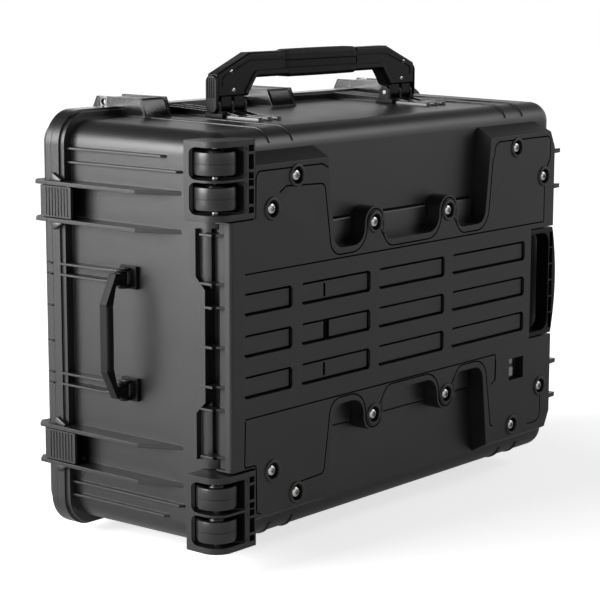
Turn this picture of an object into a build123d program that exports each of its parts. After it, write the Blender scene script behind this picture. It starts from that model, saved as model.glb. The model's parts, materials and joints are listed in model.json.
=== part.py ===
from build123d import *
import os
from math import tan, radians

# Wheeled hard case for laptops. It stands on its hinge side: X runs along the
# length towards the trolley handle, -Y is the base's floor with its cover, +Y
# is the lid, +Z is up. The origin is on the resting face of the middle foot.

# Body
body_length = 735.0        # X, at the parting plane
body_height = 520.0        # Z, at the parting plane
base_depth = 268.0         # from the base's floor to the parting plane
lid_depth = 42.0           # from the parting plane to the lid's outer face
wall = 5.5
draft = 0.8                # degrees, on every side of the base
corner_radius = 31.0
floor_radius = 27.0
lid_radius = 22.0
floor_bevel = 16.0         # inside, along the floor and along the lid's face
lid_bevel = 12.0
rim_out_end = 15.0         # how far the rims stand out of the ends
rim_out_side = 12.0        # and out of the long sides
base_rim = 14.0            # thickness of the base's rim
lid_rim = 10.0
rim_step = 3.0             # the base's rim thins by this much, one step inwards
rim_step_width = 7.0
floor_sink = 1.5           # the floor's middle zone is let in by this much
floor_zone = 125.0         # half height of that zone

# Clearances
slide_gap = 0.4            # between pieces that slide or swing past each other
seat_gap = 0.3             # between soft pieces and what they rest against
pin_gap = 0.05             # radial, between a pin and what turns on it
past = 1.0                 # cutting shapes run this far past what they cut
bite = 2.0                 # fused pieces reach this far into what carries them

# Ribs and lugs
lug_height = 24.0          # lugs, latch ribs and feet stand this far out
rib_thickness = 5.0
lug_pitch = 47.0           # between the two lugs of one latch
lug_toe = 63.0             # where a long-side lug starts, back from the rim
lug_bend = 51.0
lid_lug_bend = 27.0
lid_lug_toe = 40.0
end_rib_toe = 216.0        # the same on the end ribs, which run further
end_rib_bend = 157.0
end_lid_bend = 20.0
end_lid_toe = 30.0
end_lid_toe_height = 12.0
lug_undercut = 4.0         # how far the lid's lugs lean back at their toes
fine_rib = 3.0             # thickness of the low stiffening ribs
fine_rib_height = 7.0
fine_rib_low = 4.0         # their height at the toe
fine_rib_outer = (224.8, 189.0)    # height above the centre, and toe back from the rim
fine_rib_inner = (207.5, 215.0)

# Channel along the base's lower left edge, between the wheels
edge_channel_in = 14.0
edge_channel_depth = 13.0
edge_channel_half = 142.0
lip_thickness = 5.0
lip_out = 5.0
lip_half = 84.0
lip_jog = 15.0
fin_heights = (0.0, 48.5, -48.5, 77.0, -77.0, 136.0, -136.0)
fin_thickness = 3.0
fin_stand = 2.0            # fins stand this far out of the lip

# Latches
latch_spread = 249.5       # between the three latches of the long side
end_latch_height = 158.0   # end latches above and below the centre
latch_pivot_back = 31.0    # pivot, back from the parting plane
latch_pivot_out = 14.5     # pivot, out from the body's wall
latch_tail = 12.0          # pad beyond the pivot
latch_reach = 11.5         # pad beyond the parting plane
latch_nose = 3.0
latch_pad = 7.0
latch_side_gap = 1.2
latch_boss = 6.0
latch_pin = 5.0
nose_drop = 4.5            # the nose turns in by this much
nose_slope = 1.0
latch_chamfer = 2.5
ridge_count = 8
ridge_depth = 1.0
ridge_pitch = 5.5
ridge_start = 4.0          # plain border at the tail and beside the ridges
ridge_border = 2.0
padlock_y = 14.0           # padlock hole, beyond the parting plane
padlock_out = 16.5
padlock_radius = 4.0
padlock_size = 7.0

# Hinges and feet
hinge_out = 17.0           # pin, out from the body's wall
hinge_pin = 6.0
knuckle_radius = 6.5
knuckle_width = 18.0
knuckle_pitch = 19.0
foot_width = 58.0
foot_pad = 5.0
foot_start = 110.0         # foot's ends, from the cover's face
foot_end = 272.0

# Bottom cover
cover_thickness = 25.0
cover_length = 697.5
cover_waist = 101.0        # half height of the cover between its tabs
cover_reach = 231.0        # half height at the tabs
tab_slope = 14.0           # the tabs' ends lean in by this much
tab_left_end = 182.0
tab_right_foot = 512.0
tab_right_top = 538.0
tab_corner = 36.0
bay_round = 13.0
bay_corner = 6.0
housing_space = 2.0        # between the cover and the wheel housings
boss_radius = 21.0
boss_height = 127.0
boss_stations = (277.0, 438.0)
screw_wells = ((75.0, 163.0), (121.0, 200.0), (277.0, 127.0),
               (438.0, 127.0), (600.0, 200.0), (670.5, 154.0))
screw_well = 9.0
screw_well_depth = 9.0
recess_rows = (51.0, 0.0, -51.0)
recess_height = 28.0
recess_columns = ((22.8, 112.8), (129.6, 268.5), (285.5, 431.0), (448.0, 625.0))
recess_depth = 3.0
recess_corner = 4.0
window = (591.0, 627.0, -134.0, -102.5)
window_depth = 14.0
clip_length = 20.0
clip_thickness = 6.0
clip_side = 4.0            # below the clip, in the window
clip_step_length = 14.0
clip_step_rise = 3.0
clip_step_side = 12.0

# Wheels
wheel_diameter = 50.0
wheel_width = 28.0
wheel_pitch = 41.5
wheel_group = 202.5        # height of each pair of wheels, from the centre
wheel_out = 3.0            # axle, out beyond the end of the body
wheel_axis_depth = 22.5    # axle, in from the cover's face
wheel_axle = 8.0
housing_height = 96.0
housing_out = 27.0
housing_in = 42.0
housing_front = 2.0
housing_depth = 51.0
housing_round = 24.0
wheel_window = 36.0
wheel_room = 1.2
housing_wall = 5.0
wheel_mouth = 14.0         # the window's outer part runs this far past the axle
axle_end = 2.0             # cover over the axle's ends
pocket_width = 9.0
pocket_depth = 6.0
pocket_edge = 3.0
pocket_rows = ((-20.0, -12.5), (-9.0, 9.0), (12.5, 20.0))    # beside each wheel

# Front handle
handle_width = 418.0
handle_depth = 20.0
handle_back = 118.0        # handle's plane, back from the parting plane
handle_pivot_out = 14.0    # pivot above the body's wall
handle_top = 80.5          # top of the bar above the body's wall
handle_shoulder = 55.0
handle_shoulder_in = 63.0
handle_arm = 60.0
handle_bar = 33.0
handle_slant = 16.0
handle_foot = 24.5         # arms end this far above the body's wall
handle_grip_length = 153.0
handle_chamfer = 2.5
grip_sleeve = 3.0
grip_proud = 2.0
grip_round = 5.0
grip_short = 1.0           # the sleeve ends this far above the bar's underside
handle_pin = 6.0
handle_knuckle = 8.5
ear_proud = 0.5            # ears are this much larger than what turns between them
bracket_side = 2.0         # brackets are this much narrower than the arms, each side
ear_thickness = 5.0
ear_count = 3
bracket_depth = 30.0
bracket_foot = 4.5
ramp_toe = 84.0
ramp_height = 6.0
ramp_pitch = 18.0

# Side handle
side_handle_width = 158.0
side_handle_pivot_out = 13.4
side_handle_back = 124.0
side_grip_half = 43.0
side_grip_size = 12.0
side_grip_out = 41.6
side_grip_slope = 4.0
side_arm = 12.0
side_shoulder = 9.0
side_arm_inset = 2.0
side_neck = 1.5
side_ear = 4.0
side_ears = (60.5, 81.5)   # ears of a bracket, from the centre
side_rib_spread = 7.0      # ribs towards the rim, to either side of the bracket's middle
side_bracket_foot = 4.0
side_rib_out = 8.4         # ribs beside the bracket, and where they reach the rim's height
side_rib_slope = 26.0
side_bracket_depth = 28.0
side_pin = 5.0
side_barrel = 6.0

# Trolley handle
tube_height = 70.0         # tubes above and below the centre
outer_tube = 18.0
outer_wall = 1.6
inner_tube = 14.0
inner_wall = 1.5
tube_start = 60.0
inner_length = 555.0
tube_guide = 15.0
tube_floor_gap = 0.5
recess_start = 641.0
recess_half = 80.0
grip_arm = 12.0
grip_bulge = 10.0
grip_bar = 14.0
grip_end = 1.0             # the grip's ends, beyond the tubes
grip_sink = 0.5            # the grip lies this far below the cover's face
grip_under = 3.0           # and this far past the tubes
grip_corner = 10.0
grip_cells = 6
grip_cell_ends = 6.0
grip_back_wall = 7.0
cell_depth = 8.0
cell_wall = 2.5

# Foam and seal
slot_count = 8
slot_width = 52.0
foam_side = 38.0           # thickness of the pads along the long sides
foam_floor = 25.0
foam_below_rim = 12.0
seal_inset = 2.0
seal_width = 5.0
seal_depth = 4.0
lid_foam_depth = 30.0
foam_corner = 33.0
foam_chamfer = 17.0
foam_room = 3.0            # between the foam's edges and the shell's walls
lid_foam_room = 4.0
lid_foam_chamfer = 14.0

# Planes and levels worked out from the sizes above
left_end = -body_length / 2
right_end = body_length / 2
half_height = body_height / 2
mid_z = half_height + lug_height
case_depth = cover_thickness + base_depth + lid_depth
cover_y = -case_depth / 2
floor_y = cover_y + cover_thickness
part_y = floor_y + base_depth
lid_y = part_y + lid_depth
tube_y = floor_y - outer_tube / 2 - tube_floor_gap
top_z = mid_z + half_height
bottom_z = mid_z - half_height


def block(x, y, z):
    """Box between pairs of limits along X, Y and Z."""
    centre = ((x[0] + x[1]) / 2, (y[0] + y[1]) / 2, (z[0] + z[1]) / 2)
    return Pos(*centre) * Box(x[1] - x[0], y[1] - y[0], z[1] - z[0])


def rod(start, end, radius):
    """Round bar from one point to another."""
    axis = Vector(*end) - Vector(*start)
    return Plane(origin=start, z_dir=axis) * Cylinder(
        radius, axis.length, align=(Align.CENTER, Align.CENTER, Align.MIN))


def face_plane(y):
    """Plane across the case, looking at its floor: local x is X, local y is Z."""
    return Plane(origin=(0, y, mid_z), x_dir=(1, 0, 0), z_dir=(0, -1, 0))


def slab(sketch, y, thickness):
    """A sketch in X and Z made thick towards +Y, starting at y."""
    return extrude(face_plane(y + thickness) * sketch, amount=thickness)


def rib(points, thickness):
    """A rib in the local frame of a wall: Y along the depth, Z out of the wall."""
    face = make_face(Polyline(*[(0, y, z) for y, z in points], close=True))
    return extrude(face, amount=thickness / 2, dir=(1, 0, 0), both=True)


def on_top(x):
    """Local wall frame to the upper long side at x."""
    return Pos(x, 0, top_z)


def on_bottom(x):
    """Local wall frame to the lower long side at x."""
    return Pos(x, 0, bottom_z) * Rot(0, 180, 0)


def on_left(z):
    """Local wall frame to the left end, z above the centre."""
    return Pos(left_end, 0, mid_z + z) * Rot(0, -90, 0)


def on_right(z):
    """Local wall frame to the right end, z above the centre."""
    return Pos(right_end, 0, mid_z + z) * Rot(0, 90, 0)


def wall_in(y):
    """How far the drafted base has drawn in at depth y."""
    return (part_y - y) * tan(radians(draft))


def root(y):
    """Where a rib on the drafted base is rooted, halfway into the wall."""
    return -wall / 2 - wall_in(y)


latch_places = {
    "latch_front_left": on_top(-latch_spread),
    "latch_front_middle": on_top(0),
    "latch_front_right": on_top(latch_spread),
    "latch_left_upper": on_left(end_latch_height),
    "latch_left_lower": on_left(-end_latch_height),
    "latch_right_upper": on_right(end_latch_height),
    "latch_right_lower": on_right(-end_latch_height),
}
hinge_stations = (-latch_spread, 0.0, latch_spread)
pivot_y = part_y - latch_pivot_back
latch_inner = rim_out_end + 2 * slide_gap
latch_width = lug_pitch - rib_thickness - 2 * latch_side_gap


# Base ---------------------------------------------------------------------

def base_body():
    """Drafted box with a rounded floor, hollow, with rims round its mouth."""
    def drafted(inset):
        section = RectangleRounded(body_length - 2 * inset, body_height - 2 * inset,
                                   corner_radius - inset)
        return extrude(face_plane(part_y) * section, amount=base_depth - inset, taper=draft)

    outer = drafted(0)
    outer = fillet(outer.faces().sort_by(Axis.Y)[0].edges(), floor_radius)
    lining = corner_linings() & outer
    hollow = drafted(wall)
    hollow = chamfer(hollow.faces().sort_by(Axis.Y)[0].edges(), floor_bevel)
    rim = slab(RectangleRounded(body_length + 2 * rim_out_end, body_height + 2 * rim_out_side,
                                corner_radius + rim_out_side), part_y - base_rim, base_rim)
    step = slab(RectangleRounded(body_length + 2 * (rim_out_end - rim_step),
                                 body_height + 2 * (rim_out_side - rim_step),
                                 corner_radius + rim_out_side - rim_step),
                part_y - base_rim - rim_step_width, rim_step_width)
    return outer + rim + step - hollow + lining


def corner_linings():
    """Inner walls round the wheel pockets and behind the open lower edge."""
    lining_top = cover_y + housing_depth + housing_wall
    edge = block((left_end, left_end + edge_channel_in + housing_wall),
                 (floor_y, floor_y + edge_channel_depth + housing_wall),
                 (mid_z - wheel_group, mid_z + wheel_group))
    corners = [block((left_end, left_end + housing_in + housing_wall), (floor_y, lining_top),
                     (mid_z + side * wheel_group - housing_height / 2 - housing_wall,
                      mid_z + side * wheel_group + housing_height / 2 + housing_wall))
               for side in (-1, 1)]
    return edge + corners[0] + corners[1]


def edge_channel():
    """What is cut for the channel between the wheels: an open square groove."""
    return block((left_end - rim_out_end, left_end + edge_channel_in),
                 (floor_y - cover_thickness, floor_y + edge_channel_depth),
                 (mid_z - edge_channel_half, mid_z + edge_channel_half))


def edge_lip():
    """Lip above the channel, which steps back beside the wheel housings."""
    near = floor_y + edge_channel_depth
    jog_start = lip_half - lip_jog
    outline = [(near, -jog_start), (near, jog_start), (near + lip_jog, lip_half),
               (near + lip_jog, edge_channel_half)]
    back = [(y + lip_thickness, z) for y, z in reversed(outline)]
    half = outline[1:] + back[:-1]
    mirrored = [(y, -z) for y, z in reversed(half)]
    points = half + mirrored
    face = make_face(Polyline(*[(left_end - lip_out, y, mid_z + z) for y, z in points], close=True))
    lip = extrude(face, amount=edge_channel_in, dir=(1, 0, 0))
    fins = [block((left_end - lip_out - fin_stand, left_end + edge_channel_in),
                  (floor_y, near + lip_thickness + fin_stand),
                  (mid_z + z - fin_thickness / 2, mid_z + z + fin_thickness / 2))
            for z in fin_heights]
    return Compound(children=[lip, *fins])


def housing_pocket(side):
    """Room for one wheel housing in the base's lower corner."""
    centre = mid_z + side * wheel_group
    return block((left_end - housing_out, left_end + housing_in),
                 (floor_y - cover_thickness, cover_y + housing_depth),
                 (centre - housing_height / 2, centre + housing_height / 2))


def latch_ribs(toe, bend):
    """Two ribs of one latch on the base."""
    profile = [(part_y - toe, root(part_y - toe)), (part_y - bend, lug_height),
               (part_y, lug_height), (part_y, root(part_y))]
    return [Pos(side * lug_pitch / 2, 0, 0) * rib(profile, rib_thickness) for side in (-1, 1)]


def foot_ribs():
    """Ribs that carry one foot on the hinge side."""
    start = cover_y + foot_start
    end = cover_y + foot_end
    top = lug_height - foot_pad
    profile = [(start - top, root(start - top)), (start, top), (end, top),
               (end + top / 2, root(part_y))]
    return [Pos(x, 0, 0) * rib(profile, rib_thickness)
            for x in (-lug_pitch / 2, 0, lug_pitch / 2)]


def knuckle(offset, towards_lid):
    """One hinge knuckle with its web into the rim, in the hinge side's frame."""
    y = (part_y, part_y + lid_rim) if towards_lid else (part_y - base_rim, part_y)
    barrel = rod((offset - knuckle_width / 2, part_y, hinge_out),
                 (offset + knuckle_width / 2, part_y, hinge_out), knuckle_radius)
    web = block((offset - knuckle_width / 2, offset + knuckle_width / 2), y,
                (rim_out_side - bite, hinge_out))
    return barrel + web - rod((offset - knuckle_width, part_y, hinge_out),
                              (offset + knuckle_width, part_y, hinge_out),
                              hinge_pin / 2 + pin_gap)


def knuckle_relief(offset):
    """Slot that lets the other half's knuckle turn beside the rim."""
    half = knuckle_width / 2 + slide_gap
    reach = knuckle_radius + 2 * slide_gap
    return block((offset - half, offset + half), (part_y - reach, part_y + reach),
                 (hinge_out - reach, hinge_out + reach))


base_knuckles = (-knuckle_pitch, knuckle_pitch)


def fine_ribs():
    """Low stiffening ribs on the ends, above and below the latches."""
    ribs = []
    for height, toe in (fine_rib_outer, fine_rib_inner):
        profile = [(part_y - toe, root(part_y - toe)),
                   (part_y - toe + fine_rib_height, fine_rib_low),
                   (part_y - base_rim, fine_rib_height), (part_y - base_rim, root(part_y))]
        for place in (on_left(height), on_left(-height), on_right(height), on_right(-height)):
            ribs.append(place * rib(profile, fine_rib))
    return ribs


def handle_ribs():
    """Ribs round the front handle's brackets: ramps to the floor side, bars to the rim."""
    ribs = []
    near = handle_y - bracket_depth / 2 - seat_gap
    far = handle_y + bracket_depth / 2 + seat_gap
    toe = handle_y - ramp_toe
    for side in (-1, 1):
        for place in (-ramp_pitch, 0, ramp_pitch):
            ramp = [(toe, root(toe)), (near, ramp_height), (near, root(near))]
            bar = [(far, root(far)), (far, ramp_height), (part_y - base_rim, rim_out_side - bite),
                   (part_y - base_rim, root(part_y))]
            ribs.append(on_top(side * arm_centre + place) * rib(ramp, fine_rib))
            ribs.append(on_top(side * arm_centre + place) * rib(bar, fine_rib))
    return ribs


def side_handle_ribs():
    """Pairs of ribs from the side handle's bracket to the rim."""
    y = side_y + side_bracket_depth / 2 + seat_gap
    profile = [(y, root(y)), (y, side_rib_out), (y + side_rib_slope, rim_out_end),
               (part_y - base_rim, rim_out_end), (part_y - base_rim, root(part_y))]
    middle = sum(side_ears) / 2
    return [on_left(sign * (middle + spread)) * rib(profile, fine_rib)
            for sign in (-1, 1) for spread in (-side_rib_spread, side_rib_spread)]


def base_shell():
    """Base with its lugs, ribs, feet ribs, hinge knuckles and wheel pockets."""
    shell = base_body()
    shell -= slab(Rectangle(body_length, 2 * floor_zone), floor_y - past, past + floor_sink)
    shell -= edge_channel()
    shell = shell + edge_lip()
    shell = shell - housing_pocket(-1) - housing_pocket(1)
    added = []
    for name, place in latch_places.items():
        on_end = "left_" in name or "right_" in name
        toe, bend = (end_rib_toe, end_rib_bend) if on_end else (lug_toe, lug_bend)
        added += [place * one for one in latch_ribs(toe, bend)]
    for x in hinge_stations:
        added += [on_bottom(x) * one for one in foot_ribs()]
        shell -= on_bottom(x) * knuckle_relief(0)
        added += [on_bottom(x) * knuckle(offset, False) for offset in base_knuckles]
    added += fine_ribs() + handle_ribs() + side_handle_ribs()
    return shell.fuse(*added)


# Lid ----------------------------------------------------------------------

def lid_shell():
    """Shallow lid with rim, lugs, hinge knuckles and a groove for its seal."""
    def tray(inset):
        section = RectangleRounded(body_length - 2 * inset, body_height - 2 * inset,
                                   corner_radius - inset)
        return slab(section, part_y, lid_depth - inset)

    rim = slab(RectangleRounded(body_length + 2 * rim_out_end, body_height + 2 * rim_out_side,
                                corner_radius + rim_out_side), part_y, lid_rim)
    outer, hollow = tray(0), tray(wall)
    outer = fillet(outer.faces().sort_by(Axis.Y)[-1].edges(), lid_radius)
    hollow = chamfer(hollow.faces().sort_by(Axis.Y)[-1].edges(), lid_bevel)
    lid = outer + rim - hollow
    added = []
    for name, place in latch_places.items():
        on_end = "left_" in name or "right_" in name
        toe, bend = (end_lid_toe, end_lid_bend) if on_end else (lid_lug_toe, lid_lug_bend)
        toe_height = end_lid_toe_height if on_end else -bite
        profile = [(part_y, -bite), (part_y, lug_height), (part_y + bend, lug_height),
                   (part_y + toe, toe_height), (part_y + toe - lug_undercut, -bite)]
        added += [place * Pos(side * lug_pitch / 2, 0, 0) * rib(profile, rib_thickness)
                  for side in (-1, 1)]
        rim_out = rim_out_end if on_end else rim_out_side
        notch = block((-(lug_pitch - rib_thickness) / 2, (lug_pitch - rib_thickness) / 2),
                      (part_y - past, part_y + lid_rim + past),
                      (latch_inner - nose_drop - latch_side_gap, rim_out + past))
        lid -= place * notch
    for x in hinge_stations:
        for offset in base_knuckles:
            lid -= on_bottom(x) * knuckle_relief(offset)
        added.append(on_bottom(x) * knuckle(0, True))
    lid = lid.fuse(*added) - seal_ring()
    for x in (-latch_spread, latch_spread):
        lid -= on_top(x) * padlock_block(1 if x > 0 else -1, 0)
    return lid


def seal_ring():
    """Rubber seal in the lid's rim, all the way round."""
    def outline(out):
        return RectangleRounded(body_length + 2 * out, body_height + 2 * out,
                                corner_radius + out)
    return slab(outline(seal_inset + seal_width) - outline(seal_inset), part_y, seal_depth)


def padlock_block(side, hole):
    """Steel insert let into one lug, with a hole of the given radius through it."""
    x = side * lug_pitch / 2
    half = rib_thickness / 2
    body = block((x - half, x + half),
                 (part_y + padlock_y - padlock_size, part_y + padlock_y + padlock_size),
                 (padlock_out - padlock_size, lug_height))
    if hole == 0:
        return body
    return body - rod((x - half - past, part_y + padlock_y, padlock_out),
                      (x + half + past, part_y + padlock_y, padlock_out), hole)


# Latches ------------------------------------------------------------------

def latch():
    """Latch in a wall's frame: a ridged pad on a pivot boss, with a turned-in nose."""
    outer = latch_inner + latch_pad
    back = pivot_y - latch_tail
    front = part_y + latch_reach
    tip = front + latch_nose
    nose = latch_inner - nose_drop
    profile = [(back, latch_inner + latch_chamfer), (back + latch_chamfer, latch_inner),
               (front, latch_inner), (front, nose), (tip, nose + nose_slope),
               (tip, outer - latch_chamfer), (tip - latch_chamfer, outer), (back, outer)]
    body = rib(profile, latch_width)
    boss = rod((-latch_width / 2, pivot_y, latch_pivot_out),
               (latch_width / 2, pivot_y, latch_pivot_out), latch_boss)
    body = body + boss
    for i in range(ridge_count):
        y = back + ridge_start + i * ridge_pitch
        body -= block((-latch_width / 2 + ridge_border, latch_width / 2 - ridge_border),
                      (y, y + ridge_pitch / 2), (outer - ridge_depth, outer + past))
    return body - rod((-latch_width, pivot_y, latch_pivot_out),
                      (latch_width, pivot_y, latch_pivot_out), latch_pin / 2 + pin_gap)


def latch_pin_bar():
    """Pin from lug to lug of a latch."""
    end = lug_pitch / 2 - rib_thickness / 2
    return rod((-end, pivot_y, latch_pivot_out), (end, pivot_y, latch_pivot_out), latch_pin / 2)


# Bottom cover ---------------------------------------------------------------

def cover_outline():
    """Cover seen from below: a long panel, four corner tabs and four screw bosses."""
    outline = Pos(cover_length / 2, 0) * Rectangle(cover_length, 2 * cover_waist)
    beside_wheels = wheel_group - housing_height / 2 - housing_space
    tab_start = housing_in + housing_space
    left = [(tab_start, 0), (tab_left_end, 0), (tab_left_end, cover_reach),
            (tab_start, cover_reach)]
    right = [(tab_right_foot, 0), (cover_length, 0), (cover_length, cover_reach - tab_corner),
             (cover_length - tab_corner / 2, cover_reach), (tab_right_top, cover_reach)]
    edge = [(0, 0), (tab_start + past, 0), (tab_start + past, beside_wheels), (0, beside_wheels)]
    for sign in (-1, 1):
        for corners in (left, right, edge):
            around = [(x, sign * z) for x, z in corners][::sign]
            outline = outline + Polygon(*around, align=None)
        for x in boss_stations:
            outline = outline + Pos(x, sign * boss_height) * Circle(boss_radius)
            outline = outline + Pos(x, sign * boss_height / 2) * Rectangle(2 * boss_radius,
                                                                            boss_height)
    outline = offset(outline, amount=bay_round)
    outline = offset(outline, amount=-bay_round)
    beyond = 2 * cover_reach
    for sign in (-1, 1):
        corner = RectangleRounded(tab_start + past, beyond, bay_corner)
        outline -= Pos((tab_start - past) / 2, sign * (beside_wheels + beyond / 2)) * corner
    return outline


def bottom_cover():
    """Moulded cover with recesses, screw wells, tube channels and the grip's bay."""
    outline = cover_outline()
    cover = slab(Pos(left_end, 0) * outline, cover_y, cover_thickness)
    for sign in (-1, 1):
        wedge = make_face(Polyline((cover_y - past, sign * (cover_reach - tab_slope)),
                                   (floor_y, sign * cover_reach),
                                   (floor_y, sign * (cover_reach + past)),
                                   (cover_y - past, sign * (cover_reach + past)), close=True))
        cut = extrude(Plane(origin=(0, 0, mid_z), x_dir=(0, 1, 0), z_dir=(1, 0, 0)) * wedge,
                      amount=body_length, both=True)
        cover -= cut
    for low_x, high_x in recess_columns:
        shape = Rectangle(high_x - low_x, recess_height)
        shape = Pos((low_x + high_x) / 2, 0) * chamfer(shape.vertices(), recess_corner)
        for row in recess_rows:
            cover -= slab(Pos(left_end, row) * shape, cover_y - past, past + recess_depth)
    for x, z in screw_wells:
        for sign in (-1, 1):
            well = Pos(left_end + x, sign * z) * Circle(screw_well)
            cover -= slab(well, cover_y - past, past + screw_well_depth)
    bay = (left_end + recess_start, left_end + cover_length + past)
    cover -= block(bay, (cover_y - past, floor_y + past), (mid_z - recess_half, mid_z + recess_half))
    half = outer_tube / 2 + slide_gap
    for sign in (-1, 1):
        z = mid_z + sign * tube_height
        cover -= block((left_end + tube_start - past, left_end + recess_start + past),
                       (tube_y - half, floor_y + past), (z - half, z + half))
    x0, x1, z0, z1 = window
    cover -= block((left_end + x0, left_end + x1), (cover_y - past, cover_y + window_depth),
                   (mid_z + z0, mid_z + z1))
    return cover


def cover_clip():
    """Stepped catch in the cover's window."""
    start = left_end + window[0]
    low, high = mid_z + window[2] + clip_side, mid_z + window[3]
    back = cover_y + window_depth
    face = back - clip_thickness
    foot = block((start, start + clip_length), (face, back), (low, high))
    step = block((start, start + clip_step_length), (face - clip_step_rise, face),
                 (low, high - clip_step_side))
    return foot + step


# Wheels -----------------------------------------------------------------------

wheel_x = left_end - wheel_out
wheel_y = cover_y + wheel_axis_depth
wheel_radius = wheel_diameter / 2


def wheel_heights(side):
    """Heights of the two wheels in the upper (+1) or lower (-1) housing."""
    centre = mid_z + side * wheel_group
    return centre - wheel_pitch / 2, centre + wheel_pitch / 2


def upright(z0, z1, radius):
    """Round bar on a wheel axis."""
    return rod((wheel_x, wheel_y, z0), (wheel_x, wheel_y, z1), radius)


def wheel_housing(side):
    """Corner housing: rounded outer edge, two windows, axle bores and lightening pockets."""
    centre = mid_z + side * wheel_group
    half = housing_height / 2
    body = block((left_end - housing_out, left_end + housing_in - slide_gap),
                 (cover_y - housing_front, cover_y + housing_depth - slide_gap),
                 (centre - half + slide_gap, centre + half - slide_gap))
    corner = body.edges().filter_by(Axis.Z).sort_by(lambda e: e.center().X + e.center().Y)[0]
    body = fillet(corner, housing_round)
    for z in wheel_heights(side):
        room = upright(z - wheel_window / 2, z + wheel_window / 2, wheel_radius + wheel_room)
        mouth = block((left_end - housing_out - past, wheel_x),
                      (cover_y - housing_front - past, wheel_y + wheel_mouth),
                      (z - wheel_window / 2, z + wheel_window / 2))
        side_mouth = block((left_end - housing_out - past, wheel_x + wheel_radius + wheel_room),
                           (cover_y - housing_front - past, wheel_y),
                           (z - wheel_window / 2, z + wheel_window / 2))
        body = body - room - mouth - side_mouth
        pocket_x = left_end + housing_in - pocket_edge
        for low, high in pocket_rows:
            body -= block((pocket_x - pocket_width, pocket_x),
                          (cover_y - housing_front - past, cover_y + pocket_depth),
                          (z + low, z + high))
    return body - upright(centre - half + axle_end, centre + half - axle_end, wheel_axle / 2)


def wheel_axle_bar(side):
    """Steel axle through both wheels of one housing."""
    centre = mid_z + side * wheel_group
    reach = housing_height / 2 - axle_end
    return upright(centre - reach, centre + reach, wheel_axle / 2)


def wheel(z):
    """Broad wheel, bored for its axle."""
    low, high = z - wheel_width / 2, z + wheel_width / 2
    return (upright(low, high, wheel_radius)
            - upright(low - past, high + past, wheel_axle / 2 + pin_gap))


# Front handle ------------------------------------------------------------------

handle_y = part_y - handle_back
handle_z = top_z + handle_pivot_out
handle_half = handle_width / 2
arm_centre = handle_half - handle_arm / 2
ear_pitch = (handle_arm - 2 * ear_thickness) / (ear_count - 1)
ear_offsets = [(i - (ear_count - 1) / 2) * ear_pitch for i in range(ear_count)]


def handle_frame():
    """Upright handle: two wide arms, sloped shoulders and a bar, with knuckles below."""
    low = handle_foot
    inner = handle_half - handle_arm
    outer = [(-handle_half, low), (-handle_half, handle_shoulder),
             (-handle_half + handle_shoulder_in, handle_top),
             (handle_half - handle_shoulder_in, handle_top), (handle_half, handle_shoulder),
             (handle_half, low), (inner, low), (inner - handle_slant, handle_top - handle_bar),
             (-inner + handle_slant, handle_top - handle_bar), (-inner, low)]
    face = make_face(Polyline(*[(x, handle_y, top_z + z) for x, z in outer], close=True))
    frame = extrude(face, amount=handle_depth / 2, dir=(0, 1, 0), both=True)
    frame = chamfer(frame.edges().filter_by(Axis.Y, reverse=True), handle_chamfer)
    frame -= grip_room()
    knuckles = []
    for side in (-1, 1):
        for a, b in zip(ear_offsets, ear_offsets[1:]):
            x0 = side * arm_centre + a + ear_thickness / 2 + slide_gap
            x1 = side * arm_centre + b - ear_thickness / 2 - slide_gap
            barrel = rod((x0, handle_y, handle_z), (x1, handle_y, handle_z), handle_knuckle)
            neck = block((x0, x1), (handle_y - handle_knuckle, handle_y + handle_knuckle),
                         (handle_z, top_z + low + bite))
            knuckles.append(barrel + neck)
    frame = frame.fuse(*knuckles)
    for side in (-1, 1):
        frame -= handle_axis(side, handle_pin / 2 + pin_gap, past)
    return frame


def grip_room():
    """Waist in the bar where the soft grip sits."""
    half = handle_grip_length / 2
    around = block((-half, half), (handle_y - handle_depth, handle_y + handle_depth),
                   (top_z + handle_top - handle_bar - past, top_z + handle_top + past))
    return around - grip_core()


def grip_core():
    """Core of the bar inside the soft grip."""
    half = handle_grip_length / 2 + past
    reach = handle_depth / 2 - grip_sleeve
    return block((-half, half), (handle_y - reach, handle_y + reach),
                 (top_z + handle_top - handle_bar + grip_sleeve, top_z + handle_top - grip_sleeve))


def handle_grip():
    """Soft sleeve round the waist of the bar, a little prouder than the bar."""
    half = handle_grip_length / 2
    reach = handle_depth / 2 + grip_proud
    sleeve = block((-half, half), (handle_y - reach, handle_y + reach),
                   (top_z + handle_top - handle_bar + grip_short, top_z + handle_top + grip_proud))
    return fillet(sleeve.edges().filter_by(Axis.X), grip_round) - grip_core()


def handle_axis(side, radius, extra):
    """Bar on the handle's pivot axis, through one bracket."""
    half = ear_offsets[-1] + ear_thickness / 2 + extra
    return rod((side * arm_centre - half, handle_y, handle_z),
               (side * arm_centre + half, handle_y, handle_z), radius)


def handle_bracket(side):
    """Bracket on the body's wall: a foot with three ears."""
    centre = side * arm_centre
    foot_top = top_z + bracket_foot
    half = handle_arm / 2 - bracket_side
    reach = bracket_depth / 2
    ear_radius = handle_knuckle + ear_proud
    foot = block((centre - half, centre + half), (handle_y - reach, handle_y + reach),
                 (top_z - wall_in(handle_y + reach), foot_top))
    ears = []
    for offset_x in ear_offsets:
        x = (centre + offset_x - ear_thickness / 2, centre + offset_x + ear_thickness / 2)
        disc = rod((x[0], handle_y, handle_z), (x[1], handle_y, handle_z), ear_radius)
        web = block(x, (handle_y - ear_radius, handle_y + ear_radius), (foot_top - bite, handle_z))
        ears.append(disc + web)
    return foot.fuse(*ears) - handle_axis(side, handle_pin / 2, past)


# Side handle --------------------------------------------------------------------

side_x = left_end - side_handle_pivot_out
side_y = part_y - side_handle_back
side_half = side_handle_width / 2


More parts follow.
